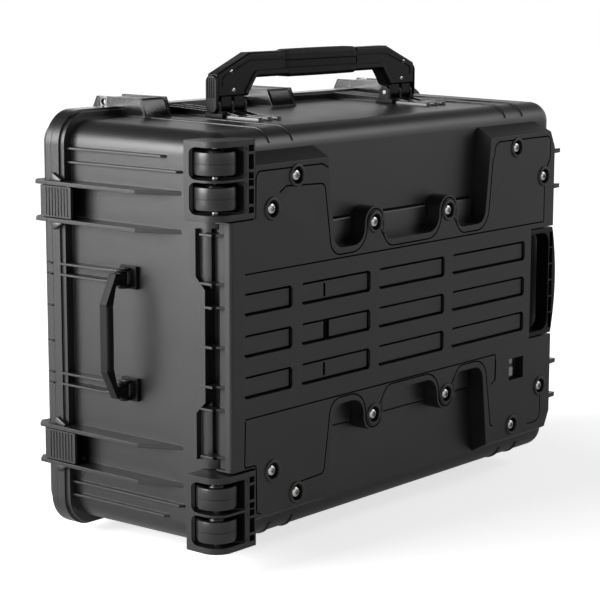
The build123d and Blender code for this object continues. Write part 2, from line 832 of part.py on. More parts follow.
def side_handle():
    """Swing handle: two arms, sloped corners and a square grip."""
    grip_x = left_end - side_grip_out
    thick = side_grip_size / 2
    start = side_x - side_barrel - side_neck
    elbow = start - side_shoulder
    arm_outer = side_half - side_arm_inset
    arm_inner = arm_outer - side_arm
    upper = [(grip_x - thick, side_grip_half), (elbow, side_half), (start, arm_outer),
             (start, arm_inner), (elbow, arm_inner - side_arm_inset),
             (grip_x + thick, side_grip_half - side_grip_slope)]
    lower = [(x, -z) for x, z in reversed(upper)]
    face = make_face(Polyline(*[(x, side_y, mid_z + z) for x, z in upper + lower], close=True))
    frame = extrude(face, amount=side_grip_size / 2, dir=(0, 1, 0), both=True)
    knuckles = []
    low, high = side_ears
    for sign in (-1, 1):
        z0, z1 = sorted((mid_z + sign * (low + side_ear / 2 + slide_gap),
                         mid_z + sign * (high - side_ear / 2 - slide_gap)))
        barrel = rod((side_x, side_y, z0), (side_x, side_y, z1), side_barrel)
        neck = block((start - bite, side_x), (side_y - side_barrel, side_y + side_barrel), (z0, z1))
        knuckles.append(barrel + neck)
    frame = frame.fuse(*knuckles)
    for sign in (-1, 1):
        frame -= side_axis(sign, side_pin / 2 + pin_gap, past)
    return frame


def side_axis(sign, radius, extra):
    """Bar on the side handle's pivot axis, through one bracket."""
    z0 = mid_z + sign * (side_ears[0] - side_ear / 2 - extra)
    z1 = mid_z + sign * (side_ears[1] + side_ear / 2 + extra)
    return rod((side_x, side_y, z0), (side_x, side_y, z1), radius)


def side_bracket(sign):
    """Bracket on the end wall with two ears."""
    foot_ends = sorted((mid_z + sign * (side_ears[0] - side_ear),
                        mid_z + sign * (side_ears[1] + side_ear)))
    reach = side_bracket_depth / 2
    ear_radius = side_barrel + ear_proud
    foot = block((left_end - side_bracket_foot, left_end + wall_in(side_y + reach)),
                 (side_y - reach, side_y + reach), foot_ends)
    ears = []
    for height in side_ears:
        z = (mid_z + sign * height - side_ear / 2, mid_z + sign * height + side_ear / 2)
        disc = rod((side_x, side_y, z[0]), (side_x, side_y, z[1]), ear_radius)
        web = block((side_x, left_end - side_bracket_foot + bite),
                    (side_y - ear_radius, side_y + ear_radius), z)
        ears.append(disc + web)
    return foot.fuse(*ears) - side_axis(sign, side_pin / 2, past)


# Trolley --------------------------------------------------------------------------

def square_tube(x0, x1, size, thickness, sign):
    """Square tube along X on one of the two tube lines."""
    z = mid_z + sign * tube_height
    half = size / 2
    inner = half - thickness
    return (block((x0, x1), (tube_y - half, tube_y + half), (z - half, z + half))
            - block((x0 - past, x1 + past), (tube_y - inner, tube_y + inner), (z - inner, z + inner)))


def tube_guides():
    """Collars that hold the tubes' mouths in the cover."""
    x1 = left_end + recess_start
    thickness = (outer_tube - inner_tube) / 2 - slide_gap
    return Compound(children=[square_tube(x1 - tube_guide, x1, outer_tube, thickness, sign)
                              for sign in (-1, 1)])


def trolley_grip():
    """Pull handle: two arms and a bowed bar with open cells on its face."""
    x0 = left_end + recess_start + slide_gap
    x1 = left_end + cover_length
    half = tube_height + inner_tube / 2 + grip_end
    arc = ThreePointArc((x1, -half), (x1 + grip_bulge, 0), (x1, half))
    outline = make_face(Polyline((x1, half), (x0, half), (x0, -half), (x1, -half)) + arc)
    room = x1 - grip_bar - x0
    inner = Pos(x0 + room / 2 - grip_corner / 2, 0) * RectangleRounded(
        room + grip_corner, 2 * (half - grip_arm), grip_corner)
    grip = slab(outline - inner, cover_y + grip_sink, outer_tube + grip_under)
    reach = 2 * (half - grip_cell_ends)
    cell = reach / grip_cells
    for i in range(grip_cells):
        low = mid_z - reach / 2 + i * cell
        grip -= block((x1 - grip_bar + grip_back_wall, x1 + past),
                      (cover_y - past, cover_y + cell_depth),
                      (low + cell_wall / 2, low + cell - cell_wall / 2))
    return grip


def inner_tubes():
    """The two tubes that slide out with the grip."""
    x1 = left_end + recess_start + slide_gap
    return Compound(children=[square_tube(x1 - inner_length, x1, inner_tube, inner_wall, sign)
                              for sign in (-1, 1)])


def outer_tubes():
    """The two tubes fixed under the cover."""
    x0 = left_end + tube_start
    x1 = left_end + recess_start - tube_guide
    return Compound(children=[square_tube(x0, x1, outer_tube, outer_wall, sign)
                              for sign in (-1, 1)])


# Foam -------------------------------------------------------------------------------

foam_left = left_end + housing_in + housing_wall + seat_gap
foam_right = right_end - wall - wall_in(floor_y) - foam_room
foam_low = floor_y + wall + seat_gap
foam_high = part_y - foam_below_rim
foam_half = half_height - wall - wall_in(floor_y) - foam_room
slot_half = foam_half - foam_side


def foam_floor_pad():
    """Pad on the base's floor, with its lower edges cut back to the floor's curve."""
    pad = block((foam_left, foam_right), (foam_low, foam_low + foam_floor),
                (mid_z - foam_half, mid_z + foam_half))
    pad = fillet(pad.edges().filter_by(Axis.Y).group_by(Axis.X)[-1], foam_corner)
    return chamfer(pad.faces().sort_by(Axis.Y)[0].edges(), foam_chamfer)


def foam_sides():
    """Two pads along the long sides."""
    low = foam_low + foam_floor
    pads = []
    for sign in (-1, 1):
        pad = block((foam_left, foam_right), (low, foam_high),
                    sorted((mid_z + sign * slot_half, mid_z + sign * foam_half)))
        outer = pad.edges().filter_by(Axis.Y).sort_by(lambda e: e.center().X + sign * e.center().Z)
        pads.append(fillet(outer[-1], foam_corner))
    return Compound(children=pads)


def foam_dividers():
    """Upright pads that leave one slot for each laptop."""
    low = foam_low + foam_floor
    spare = foam_right - foam_left - slot_count * slot_width
    thick = spare / (slot_count + 1)
    return Compound(children=[
        block((foam_left + i * (slot_width + thick), foam_left + i * (slot_width + thick) + thick),
              (low, foam_high), (mid_z - slot_half, mid_z + slot_half))
        for i in range(slot_count + 1)])


def lid_foam():
    """Pad in the lid with grooves that steady the laptops' edges."""
    half_x = body_length / 2 - wall - lid_foam_room
    half_z = half_height - wall - lid_foam_room
    pad = block((-half_x, half_x), (lid_y - wall - lid_foam_depth, lid_y - wall),
                (mid_z - half_z, mid_z + half_z))
    pad = fillet(pad.edges().filter_by(Axis.Y), foam_corner)
    return chamfer(pad.faces().sort_by(Axis.Y)[-1].edges(), lid_foam_chamfer)


# Feet and pins -------------------------------------------------------------------------

def feet():
    """Three pads under the hinge side, which the case stands on."""
    start, end = cover_y + foot_start, cover_y + foot_end
    return Compound(children=[block((x - foot_width / 2, x + foot_width / 2), (start, end),
                                    (0, foot_pad)) for x in hinge_stations])


def hinge_pins():
    """Three hinge pins."""
    end = knuckle_pitch + knuckle_width / 2
    z = bottom_z - hinge_out
    return Compound(children=[rod((x - end, part_y, z), (x + end, part_y, z), hinge_pin / 2)
                              for x in hinge_stations])


def all_nodes():
    """Every piece by name."""
    nodes = {
        "base_shell": base_shell(),
        "bottom_cover": bottom_cover(),
        "cover_clip": cover_clip(),
        "lid_shell": lid_shell(),
        "lid_seal": seal_ring(),
        "lid_foam": lid_foam(),
        "hinge_pins": hinge_pins(),
        "padlock_inserts": Compound(children=[
            on_top(side * latch_spread) * padlock_block(side, padlock_radius) for side in (-1, 1)]),
        "latch_pins": Compound(children=[place * latch_pin_bar() for place in latch_places.values()]),
        "front_handle_frame": handle_frame(),
        "front_handle_grip": handle_grip(),
        "front_handle_pins": Compound(children=[handle_axis(side, handle_pin / 2, 0)
                                                for side in (-1, 1)]),
        "front_bracket_left": handle_bracket(-1),
        "front_bracket_right": handle_bracket(1),
        "side_handle": side_handle(),
        "side_handle_pins": Compound(children=[side_axis(sign, side_pin / 2, 0)
                                               for sign in (-1, 1)]),
        "side_bracket_upper": side_bracket(1),
        "side_bracket_lower": side_bracket(-1),
        "trolley_grip": trolley_grip(),
        "trolley_inner_tubes": inner_tubes(),
        "trolley_outer_tubes": outer_tubes(),
        "trolley_guides": tube_guides(),
        "foam_floor_pad": foam_floor_pad(),
        "foam_side_pads": foam_sides(),
        "foam_dividers": foam_dividers(),
        "feet": feet(),
    }
    for name, place in latch_places.items():
        nodes[name] = place * latch()
    for side, word in ((1, "upper"), (-1, "lower")):
        nodes["wheel_housing_" + word] = wheel_housing(side)
        nodes["wheel_axle_" + word] = wheel_axle_bar(side)
        for z, place in zip(wheel_heights(side), ("a", "b")):
            nodes[f"wheel_{word}_{place}"] = wheel(z)
    return nodes


os.makedirs("parts", exist_ok=True)
for node_name, solid in all_nodes().items():
    export_step(solid, f"parts/{node_name}.step")
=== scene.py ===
import json
import math

import bmesh
import bpy
import numpy as np
from mathutils import Matrix, Vector


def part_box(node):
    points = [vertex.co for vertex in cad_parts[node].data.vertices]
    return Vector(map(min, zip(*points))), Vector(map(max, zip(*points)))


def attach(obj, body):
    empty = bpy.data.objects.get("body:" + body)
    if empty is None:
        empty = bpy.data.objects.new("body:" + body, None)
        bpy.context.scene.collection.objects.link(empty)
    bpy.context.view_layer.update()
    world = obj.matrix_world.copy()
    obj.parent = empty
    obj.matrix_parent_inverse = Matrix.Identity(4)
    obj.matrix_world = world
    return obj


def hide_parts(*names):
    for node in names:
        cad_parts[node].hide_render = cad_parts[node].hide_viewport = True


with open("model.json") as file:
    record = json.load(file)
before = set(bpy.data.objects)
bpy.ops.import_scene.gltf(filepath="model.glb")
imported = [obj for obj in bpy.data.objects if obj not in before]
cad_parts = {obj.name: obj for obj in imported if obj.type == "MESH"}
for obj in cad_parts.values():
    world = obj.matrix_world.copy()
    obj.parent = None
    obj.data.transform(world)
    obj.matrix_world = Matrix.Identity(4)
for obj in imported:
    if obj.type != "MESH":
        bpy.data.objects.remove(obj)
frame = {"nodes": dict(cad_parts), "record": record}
nodes = frame["nodes"]
record = frame["record"]
bodyOf = {name: body for body, names in record["behaviour"]["bodies"].items() for name in names}
slotOf = {row["node"]: row["material_slot"] for row in record["subparts"]}
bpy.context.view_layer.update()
mm = 0.001
print("frame loaded:", len(nodes), "nodes")

# levels of the case that the new pieces are set against
shell = {
    "left": -367.5 * mm, "middle": 284.0 * mm, "top": 544.0 * mm, "rim": 382.5 * mm, "coverFace": -167.5 * mm,
    "floorFace": -142.5 * mm, "parting": 125.5 * mm, "draft": math.tan(math.radians(0.8)),
    "floorRadius": 27.0 * mm,
}
offCover, alongCase, upward = (0, -1, 0), (1, 0, 0), (0, 0, 1)


# Finishes

class Signal:  # one output socket; arithmetic on it adds Math nodes to the same tree
    def __init__(self, tree, socket):
        self.tree = tree
        self.socket = socket

    # any other node: its type, its settings, the values or links of its inputs, and which output is wanted
    def node(self, kind, settings=None, inputs=None, output=0):
        made = self.tree.nodes.new(kind)
        for name, value in (settings or {}).items():
            if name == "stops":
                elements = made.color_ramp.elements
                while len(elements) < len(value):
                    elements.new(0.5)
                for element, (position, grey) in zip(elements, value):
                    element.position = position
                    element.color = (grey, grey, grey, 1.0)
            else:
                setattr(made, name, value)
        for key, value in (inputs or {}).items():
            if isinstance(value, Signal):
                self.tree.links.new(value.socket, made.inputs[key])
            else:
                made.inputs[key].default_value = value
        return Signal(self.tree, made.outputs[output])

    def maths(self, operation, first, second=0.0):
        return self.node("ShaderNodeMath", {"operation": operation}, {0: first, 1: second})

    def __add__(self, other):
        return self.maths("ADD", self, other)

    def __radd__(self, other):
        return self.maths("ADD", other, self)

    def __sub__(self, other):
        return self.maths("SUBTRACT", self, other)

    def __rsub__(self, other):
        return self.maths("SUBTRACT", other, self)

    def __mul__(self, other):
        return self.maths("MULTIPLY", self, other)

    def __rmul__(self, other):
        return self.maths("MULTIPLY", other, self)


def newMaterial(name):  # an empty tree with its shader, and the piece's own coordinates as a signal
    material = bpy.data.materials.new(name)
    material.use_nodes = True
    tree = material.node_tree
    tree.nodes.clear()
    out = tree.nodes.new("ShaderNodeOutputMaterial")
    shader = tree.nodes.new("ShaderNodeBsdfPrincipled")
    tree.links.new(shader.outputs[0], out.inputs[0])
    place = Signal(tree, tree.nodes.new("ShaderNodeTexCoord").outputs["Object"])
    return material, shader, place


def feed(shader, place, values):  # sets sockets of the shader, or links signals to them
    for name, value in values.items():
        if isinstance(value, Signal):
            place.tree.links.new(value.socket, shader.inputs[name])
        else:
            shader.inputs[name].default_value = value


def noise(place, size, detail=2.0, rough=0.5):  # soft noise with features of about this size in metres
    return place.node("ShaderNodeTexNoise", None, {"Vector": place, "Scale": 1.0 / size, "Detail": detail,
                                                   "Roughness": rough})


def stretched(place, scale):  # the same coordinates, drawn out along one or two axes
    return place.node("ShaderNodeMapping", None, {"Vector": place, "Scale": scale})


def ramp(signal, stops):  # black to white by pairs of position and level
    return signal.node("ShaderNodeValToRGB", {"stops": stops}, {"Fac": signal})


def blended(signal, first, second, factor, kind="MIX"):  # two colours mixed by a factor
    return signal.node("ShaderNodeMix", {"data_type": "RGBA", "blend_type": kind},
                       {"Factor": factor, "A": first, "B": second}, "Result")


def bumped(place, height, strength, distance):  # a normal from a height
    return place.node("ShaderNodeBump", None, {"Height": height, "Strength": strength, "Distance": distance})


def colour(tone, share=1.0):  # a tone, or a share of it, with its alpha
    return (*[share * c for c in tone], 1.0)


# Wear of the mouldings and painted shade in their hollows: sizes in metres, detail and roughness of each
# noise, ramp stops, and how far each pattern moves the tone and the roughness
wearAndPaintedShade = {
    "grainDetail": (3.0, 0.65), "pits": 0.7, "pitsSoft": 0.5, "grainShare": 0.6, "pitsShare": 0.4,
    "cloud": 0.12, "cloudDetail": (5.0, 0.6), "cloudStops": (0.3, 0.72),
    "scuff": 0.004, "scuffDetail": (4.0, 0.7), "scuffStops": ((0.6, 0.0), (0.74, 1.0)),
    "edgeStops": ((0.52, 0.0), (0.6, 1.0)), "hollowShadeStops": ((0.4, 1.0), (0.48, 0.0)),
    "paler": 2.6, "dust": 0.02, "hollowShadeTone": 0.4, "hollowShadeShare": 0.6,
    "roughCloud": 0.16, "roughGrain": 0.08, "roughEdge": 0.08, "depth": 0.0004,
    "polished": ("shell", "latch"), "polish": 0.11, "polishGrain": 0.04, "polishFrom": (0.5448, 0.5462),
}


# Moulded plastic or rubber: a spark-eroded grain of soft pits, a cloudy tone, faint scuffs
# drawn out along one axis, paler rubbed edges, and painted shade that darkens the hollows.
def moulded(name, m):
    material, shader, place = newMaterial(name + "Plastic")
    grain = noise(place, m["grain"], *wearAndPaintedShade["grainDetail"])
    pits = place.node("ShaderNodeTexVoronoi", {"feature": "SMOOTH_F1"},
                      {"Vector": place, "Scale": wearAndPaintedShade["pits"] / m["grain"], "Smoothness": wearAndPaintedShade["pitsSoft"]})
    cloud = noise(place, wearAndPaintedShade["cloud"], *wearAndPaintedShade["cloudDetail"])
    drawnOut = stretched(place, m["scuffAlong"])
    scuffs = ramp(noise(drawnOut, wearAndPaintedShade["scuff"], *wearAndPaintedShade["scuffDetail"]), wearAndPaintedShade["scuffStops"])
    bend = place.node("ShaderNodeNewGeometry", None, None, "Pointiness")
    edge = ramp(bend, wearAndPaintedShade["edgeStops"])
    hollowShade = ramp(bend, wearAndPaintedShade["hollowShadeStops"])
    dim, bright = wearAndPaintedShade["cloudStops"]
    shade = ramp(cloud, ((dim, 1.0 - m["cloud"]), (bright, 1.0 + m["cloud"])))
    tone = blended(place, colour(m["tone"]), shade, 1.0, "MULTIPLY")
    pale = colour([min(1.0, wearAndPaintedShade["paler"] * c + wearAndPaintedShade["dust"]) for c in m["tone"]])
    tone = blended(place, tone, pale, edge * cloud * m["rub"])
    tone = blended(place, tone, pale, scuffs * m["scuffs"])
    # painted shade: hollows, found by low pointiness, are darkened in colour
    tone = blended(place, tone, colour(m["tone"], wearAndPaintedShade["hollowShadeTone"]), hollowShade * wearAndPaintedShade["hollowShadeShare"])
    height = grain * wearAndPaintedShade["grainShare"] + pits * wearAndPaintedShade["pitsShare"]
    rough = (m["rough"] + (cloud - 0.5) * wearAndPaintedShade["roughCloud"]
             + grain * wearAndPaintedShade["roughGrain"] - edge * wearAndPaintedShade["roughEdge"])
    if name in wearAndPaintedShade["polished"]:  # lugs and rims above the upper wall come smoother out of the mould
        level = place.node("ShaderNodeSeparateXYZ", None, {"Vector": place}, "Z")
        low, high = wearAndPaintedShade["polishFrom"]
        smooth = place.node("ShaderNodeMapRange", {"interpolation_type": "SMOOTHSTEP"},
                            {0: level, 1: low, 2: high, 3: 0.0, 4: 1.0})
        rough = rough + (wearAndPaintedShade["polish"] + grain * wearAndPaintedShade["polishGrain"] - rough) * smooth
    feed(shader, place, {"Base Color": tone, "Roughness": rough, "Specular IOR Level": m["gloss"],
                         "Normal": bumped(place, height, m["bump"], wearAndPaintedShade["depth"])})
    return material


drawing = {  # the same for the metals' grain
    "line": 0.0006, "lineDetail": (3.0, 0.6), "stain": 0.006, "stainDetail": (4.0, 0.6),
    "stainStops": ((0.5, 0.0), (0.8, 1.0)), "stainTone": 0.55, "roughLine": 0.15, "roughStain": 0.1,
    "depth": 0.0001,
}


# Steel or aluminium: a drawn or turned grain as long thin noise in bump and roughness, with a little tarnish
def drawnMetal(name, m):
    material, shader, place = newMaterial(name + "Metal")
    lines = noise(stretched(place, m["along"]), drawing["line"], *drawing["lineDetail"])
    stain = noise(place, drawing["stain"], *drawing["stainDetail"])
    tone = blended(place, colour(m["tone"]), colour(m["tone"], drawing["stainTone"]),
                   ramp(stain, drawing["stainStops"]) * m["tarnish"])
    rough = m["rough"] + lines * drawing["roughLine"] + (stain - 0.5) * drawing["roughStain"]
    feed(shader, place, {"Base Color": tone, "Metallic": 1.0, "Roughness": rough,
                         "Normal": bumped(place, lines, m["bump"], drawing["depth"])})
    return material


cellFoam = {
    "tone": (0.03, 0.03, 0.032), "cell": 0.0016, "large": 0.35, "wallStops": ((0.02, 1.0), (0.22, 0.0)),
    "cloud": 0.08, "cloudDetail": (4.0, 0.6), "pitShadeTone": 0.35, "wallShare": 0.7, "cloudShare": 0.4,
    "largeShare": 0.6, "rough": 0.9, "roughWall": 0.08, "bump": 0.8, "depth": 0.0006, "sheen": 0.15,
}


# Open-cell foam: two sizes of cells as pits between thin pale walls, the pits darkened in colour as painted
# shade
def openFoam(name, m):
    material, shader, place = newMaterial(name)
    cells = place.node("ShaderNodeTexVoronoi", {"feature": "DISTANCE_TO_EDGE"},
                       {"Vector": place, "Scale": 1.0 / m["cell"]})
    large = place.node("ShaderNodeTexVoronoi", {"feature": "F1"},
                       {"Vector": place, "Scale": m["large"] / m["cell"]})
    wall = ramp(cells, m["wallStops"])
    cloud = noise(place, m["cloud"], *m["cloudDetail"])
    # painted shade: the pits between the cell walls are darker in colour
    tone = blended(place, colour(m["tone"], m["pitShadeTone"]), colour(m["tone"]),
                   wall * m["wallShare"] + cloud * m["cloudShare"])
    height = wall * m["wallShare"] + large * m["largeShare"]
    feed(shader, place, {"Base Color": tone, "Roughness": m["rough"] + wall * m["roughWall"],
                         "Normal": bumped(place, height, m["bump"], m["depth"]), "Sheen Weight": m["sheen"]})
    return material


crossways = (1.0, 1.0, 0.08)   # scuffs run up and down
lengthways = (0.08, 1.0, 1.0)  # scuffs run along the case
plasticTerms = ("tone", "grain", "bump", "rough", "gloss", "cloud", "rub", "scuffs", "scuffAlong")
plastics = {
    "shell": ((0.008, 0.0081, 0.0083), 0.0011, 0.35, 0.34, 0.62, 0.25, 0.35, 0.10, crossways),
    "cover": ((0.0085, 0.0086, 0.0078), 0.0012, 0.4, 0.42, 0.5, 0.3, 0.3, 0.12, lengthways),
    "handle": ((0.003, 0.003, 0.0031), 0.0008, 0.25, 0.4, 0.2, 0.2, 0.3, 0.08, lengthways),
    "grip": ((0.004, 0.004, 0.0041), 0.0006, 0.6, 0.6, 0.25, 0.2, 0.15, 0.05, lengthways),
    "latch": ((0.009, 0.009, 0.0092), 0.0008, 0.25, 0.3, 0.6, 0.2, 0.5, 0.15, crossways),
    "seal": ((0.007, 0.007, 0.0072), 0.0005, 0.15, 0.55, 0.4, 0.15, 0.0, 0.0, crossways),
    "foot": ((0.008, 0.008, 0.0083), 0.0009, 0.5, 0.66, 0.4, 0.3, 0.4, 0.3, lengthways),
    # near-black plastic: painted shadow on the walls of the cover's cut grooves and in strips beside the bay
    # slabs
    "gap": ((0.0012, 0.0012, 0.0012), 0.001, 0.3, 0.8, 0.06, 0.2, 0.0, 0.0, lengthways),
    "wheel": ((0.009, 0.009, 0.0092), 0.0007, 0.2, 0.3, 0.55, 0.25, 0.3, 0.25, crossways),
}
metalTerms = ("tone", "rough", "bump", "tarnish", "along")
metals = {
    "pin_steel": ((0.5, 0.5, 0.49), 0.22, 0.2, 0.6, (1.0, 1.0, 0.06)),
    "insert": ((0.16, 0.16, 0.16), 0.14, 0.15, 0.6, (1.0, 1.0, 0.1)),
    "tube": ((0.3, 0.3, 0.31), 0.3, 0.25, 0.3, (0.03, 1.0, 1.0)),
    "screw": ((0.62, 0.62, 0.6), 0.16, 0.1, 0.5, (1.0, 0.1, 1.0)),
}
materials = {name: moulded(name, dict(zip(plasticTerms, row))) for name, row in plastics.items()}
materials.update({name: drawnMetal(name, dict(zip(metalTerms, row))) for name, row in metals.items()})
materials["foam"] = openFoam("caseFoam", cellFoam)
print("materials made:", len(materials))


# Meshes worked out from formulas

# A grid of points as a closed surface of four-sided faces: the columns close into rings, and the rows
# either close on themselves or end in a flat face at each end.
def tubeOf(points, closeRows=False):
    rows, columns = points.shape[:2]
    row = np.arange(rows if closeRows else rows - 1)[:, None]
    column = np.arange(columns)[None, :]
    nextRow, nextColumn = (row + 1) % rows, (column + 1) % columns
    corners = [row * columns + column, row * columns + nextColumn,
               nextRow * columns + nextColumn, nextRow * columns + column]
    faces = np.stack(corners, -1).reshape(-1, 4).tolist()
    if not closeRows:
        faces.append(list(range(columns)))
        faces.append(list(range((rows - 1) * columns, rows * columns)))
    return points.reshape(-1, 3), faces


# A section, in millimetres, drawn along a path: each point of the section is the path's point, plus its
# first number across the path and its second number along the outward direction. At a corner the section is
# widened by one over the cosine of half the turn.
def swept(path, out, section):
    path, out, section = np.asarray(path, float), np.asarray(out, float), np.array(section) * mm
    after = np.roll(path, -1, 0) - path
    before = path - np.roll(path, 1, 0)
    after[-1], before[0] = before[-1], after[0]
    after /= np.linalg.norm(after, axis=1, keepdims=True)
    before /= np.linalg.norm(before, axis=1, keepdims=True)
    along = after + before
    mitre = 2.0 / np.linalg.norm(along, axis=1)
    along *= mitre[:, None] / 2.0
    out = np.broadcast_to(out, path.shape)
    across = np.cross(along, out)
    across /= np.linalg.norm(across, axis=1, keepdims=True)
    points = (path[:, None] + (across * mitre[:, None])[:, None] * section[None, :, :1]
              + out[:, None] * section[None, :, 1:])
    return tubeOf(points)


def spokes(angle, axis):  # directions square to an axis: cosine along the case plus sine square to both
    first, second = np.array(alongCase, float), np.cross(axis, alongCase)
    return np.cos(angle)[:, None] * first + np.sin(angle)[:, None] * second


# A profile of radii and heights, in millimetres, turned about a line: the point at each angle is the radius
# times its spoke, plus the height along the line.
def turned(profile, steps, centre, axis, closed=True):
    profile = np.array(profile) * mm
    ring = spokes(np.linspace(0.0, 2 * np.pi, steps, endpoint=False), axis)
    points = (np.asarray(centre, float) + profile[:, :1, None] * ring[None]
              + profile[:, 1, None, None] * np.array(axis, float))
    return tubeOf(points, closed)


# A polygon with its corners rounded: each corner becomes an arc that touches both its sides, found
# by turning the arm from the arc's centre through the angle between the sides.
def rounded(corners, radius, steps=6):
    p = np.asarray(corners, float)
    radius = np.broadcast_to(np.asarray(radius, float), len(p))
    before = p - np.roll(p, 1, 0)
    after = np.roll(p, -1, 0) - p
    before /= np.linalg.norm(before, axis=1, keepdims=True)
    after /= np.linalg.norm(after, axis=1, keepdims=True)
    turn = np.arctan2(before[:, 0] * after[:, 1] - before[:, 1] * after[:, 0], (before * after).sum(1))
    start = p - before * (radius * np.tan(np.abs(turn) / 2))[:, None]
    arm = np.sign(turn)[:, None] * np.stack([before[:, 1], -before[:, 0]], 1) * radius[:, None]
    angle = turn[:, None] * np.linspace(0.0, 1.0, steps)
    turnedArm = np.stack([arm[:, :1] * np.cos(angle) - arm[:, 1:] * np.sin(angle),
                          arm[:, :1] * np.sin(angle) + arm[:, 1:] * np.cos(angle)], 2)
    return ((start - arm)[:, None] + turnedArm).reshape(-1, 2)


def roundedPath(corners, radius, steps=6):  # the same for an open path, whose two ends stay as they are
    corners = np.asarray(corners, float)
    inner = rounded(corners, radius, steps).reshape(len(corners), steps, 2)[1:-1].reshape(-1, 2)
    return np.vstack([corners[:1], inner, corners[-1:]])


def box(left, low, right, high):  # the four corners of a rectangle
    return ((left, low), (right, low), (right, high), (left, high))


def roundedBox(middle, half, radius, steps=6):  # a rounded rectangle about its middle
    return rounded(np.array(box(-1, -1, 1, 1)) * half, radius, steps) + middle


def bothSides(side):  # points followed by their mirror images in turn
    return side + [(-x, z) for x, z in side[::-1]]


def joined(parts):  # several meshes as one, each with its faces counted on from the last
    points, faces, count = [], [], 0
    for some, theirs in parts:
        points.append(some)
        faces += [[i + count for i in face] for face in theirs]
        count += len(some)
    return np.vstack(points), faces


def atDepth(flat, y):  # points in X and Z, put on the plane at this y
    return np.column_stack([flat[:, 0], np.broadcast_to(y, len(flat)), flat[:, 1]])


def atLength(flat, x):  # points in Y and Z, put on the plane at this x
    return np.column_stack([np.broadcast_to(x, len(flat)), flat])


def atHeight(flat, z):  # points in X and Y, put at this height or at a height for each
    return np.column_stack([flat, np.broadcast_to(z, len(flat))])


def drawn(flat, put, ends):  # an outline in millimetres put on one plane after another, as a closed block
    return tubeOf(np.array([put(flat, end) for end in ends]) * mm)


def onCover(flat):  # lengths from the case's left end and heights from its middle, on the cover's face
    return atDepth(np.asarray(flat, float) * mm + (shell["left"], shell["middle"]), shell["coverFace"])


# Objects

def linked(name, data):  # a new object with this data, in the scene
    thing = bpy.data.objects.new(name, data)
    bpy.context.scene.collection.objects.link(thing)
    return thing


def edited(data, work):  # a mesh with its faces worked over
    mesh = bmesh.new()
    mesh.from_mesh(data)
    work(mesh)
    mesh.to_mesh(data)
    mesh.free()
    return data


def splitConcave(mesh):  # a face with an inward corner is cut up
    bmesh.ops.connect_verts_concave(mesh, faces=mesh.faces)


def outwardMesh(name, shape):  # the points and faces as a mesh whose faces all look outward
    points, faces = shape
    data = bpy.data.meshes.new(name)
    data.from_pydata(points.tolist(), [], faces)
    return edited(data, lambda mesh: bmesh.ops.recalc_face_normals(mesh, faces=mesh.faces))


# A worked-out shape as an object with its finish, body and slot; edges sharper than smooth stay sharp
def addPiece(name, shape, look="shell", body="base", smooth=35.0):
    data = outwardMesh(name, shape)
    data.materials.append(materials[look])
    data.shade_smooth()
    data.set_sharp_from_angle(angle=math.radians(smooth))
    piece = linked(name, data)
    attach(piece, body)
    return piece


def modified(piece, kind, **settings):
    made = piece.modifiers.new(kind.lower(), kind)
    for name, value in settings.items():
        setattr(made, name, value)


def settled(piece):  # the piece's modifiers worked into its mesh
    made = bpy.data.meshes.new_from_object(piece.evaluated_get(bpy.context.evaluated_depsgraph_get()))
    piece.modifiers.clear()
    piece.data = made
    return made


# Copies of the CAD solids with their edges broken; widths by slot
finishing = {
    "own": {"padlock_inserts": "insert"}, "merge": 1e-6, "flat": math.radians(0.05),
    "edge": math.radians(24.0), "segments": 2,
    "width": {"shell": 0.0005, "cover": 0.0003, "latch": 0.00025, "handle": 0.0008, "foot": 0.0015,
              "pin_steel": 0.0004, "tube": 0.0012, "seal": 0.0005, "grip": 0.001},
}


def merge(mesh):  # one vertex at each place, and no edge inside a flat face
    bmesh.ops.remove_doubles(mesh, verts=mesh.verts, dist=finishing["merge"])
    bmesh.ops.dissolve_limit(mesh, angle_limit=finishing["flat"], verts=mesh.verts, edges=mesh.edges)
    splitConcave(mesh)


def mergedCopy(nodeName):  # the node's mesh with its triangles merged into plain faces
    data = edited(nodes[nodeName].data.copy(), merge)
    piece = linked(nodeName + "_finished", data)
    data.materials.clear()
    data.materials.append(materials[finishing["own"].get(nodeName, slotOf[nodeName])])
    return piece


def combine(piece, shape, look, operation="DIFFERENCE"):  # the piece's mesh less, or with, another shape
    tool = linked("cutter", outwardMesh("cutter", shape))
    tool.data.materials.append(materials[look])
    modified(piece, "BOOLEAN", operation=operation, object=tool, solver="EXACT", use_self=True,
             material_mode="TRANSFER")
    edited(settled(piece), splitConcave)
    bpy.data.objects.remove(tool)


def finish(piece, nodeName):  # broken edges, flat faces kept flat, and the body it moves with
    piece.data.shade_smooth()
    piece.data.set_sharp_from_angle(angle=finishing["edge"])
    modified(piece, "BEVEL", limit_method="ANGLE", angle_limit=finishing["edge"],
             width=finishing["width"][slotOf[nodeName]], segments=finishing["segments"],
             use_clamp_overlap=False, miter_outer="MITER_ARC")
    modified(piece, "WEIGHTED_NORMAL", keep_sharp=False)
    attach(piece, bodyOf[nodeName])
    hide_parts(nodeName)


# these nodes are dressed further down, each in its own way
dressed = ["front_handle_grip", "bottom_cover", "wheel_housing_upper", "wheel_housing_lower", "trolley_grip"]
dressed += [name for name in nodes if slotOf[name] in ("wheel", "foam")]
plain = [name for name in nodes if name not in dressed]
for nodeName in plain:
    finish(mergedCopy(nodeName), nodeName)
print("solids finished:", len(plain))

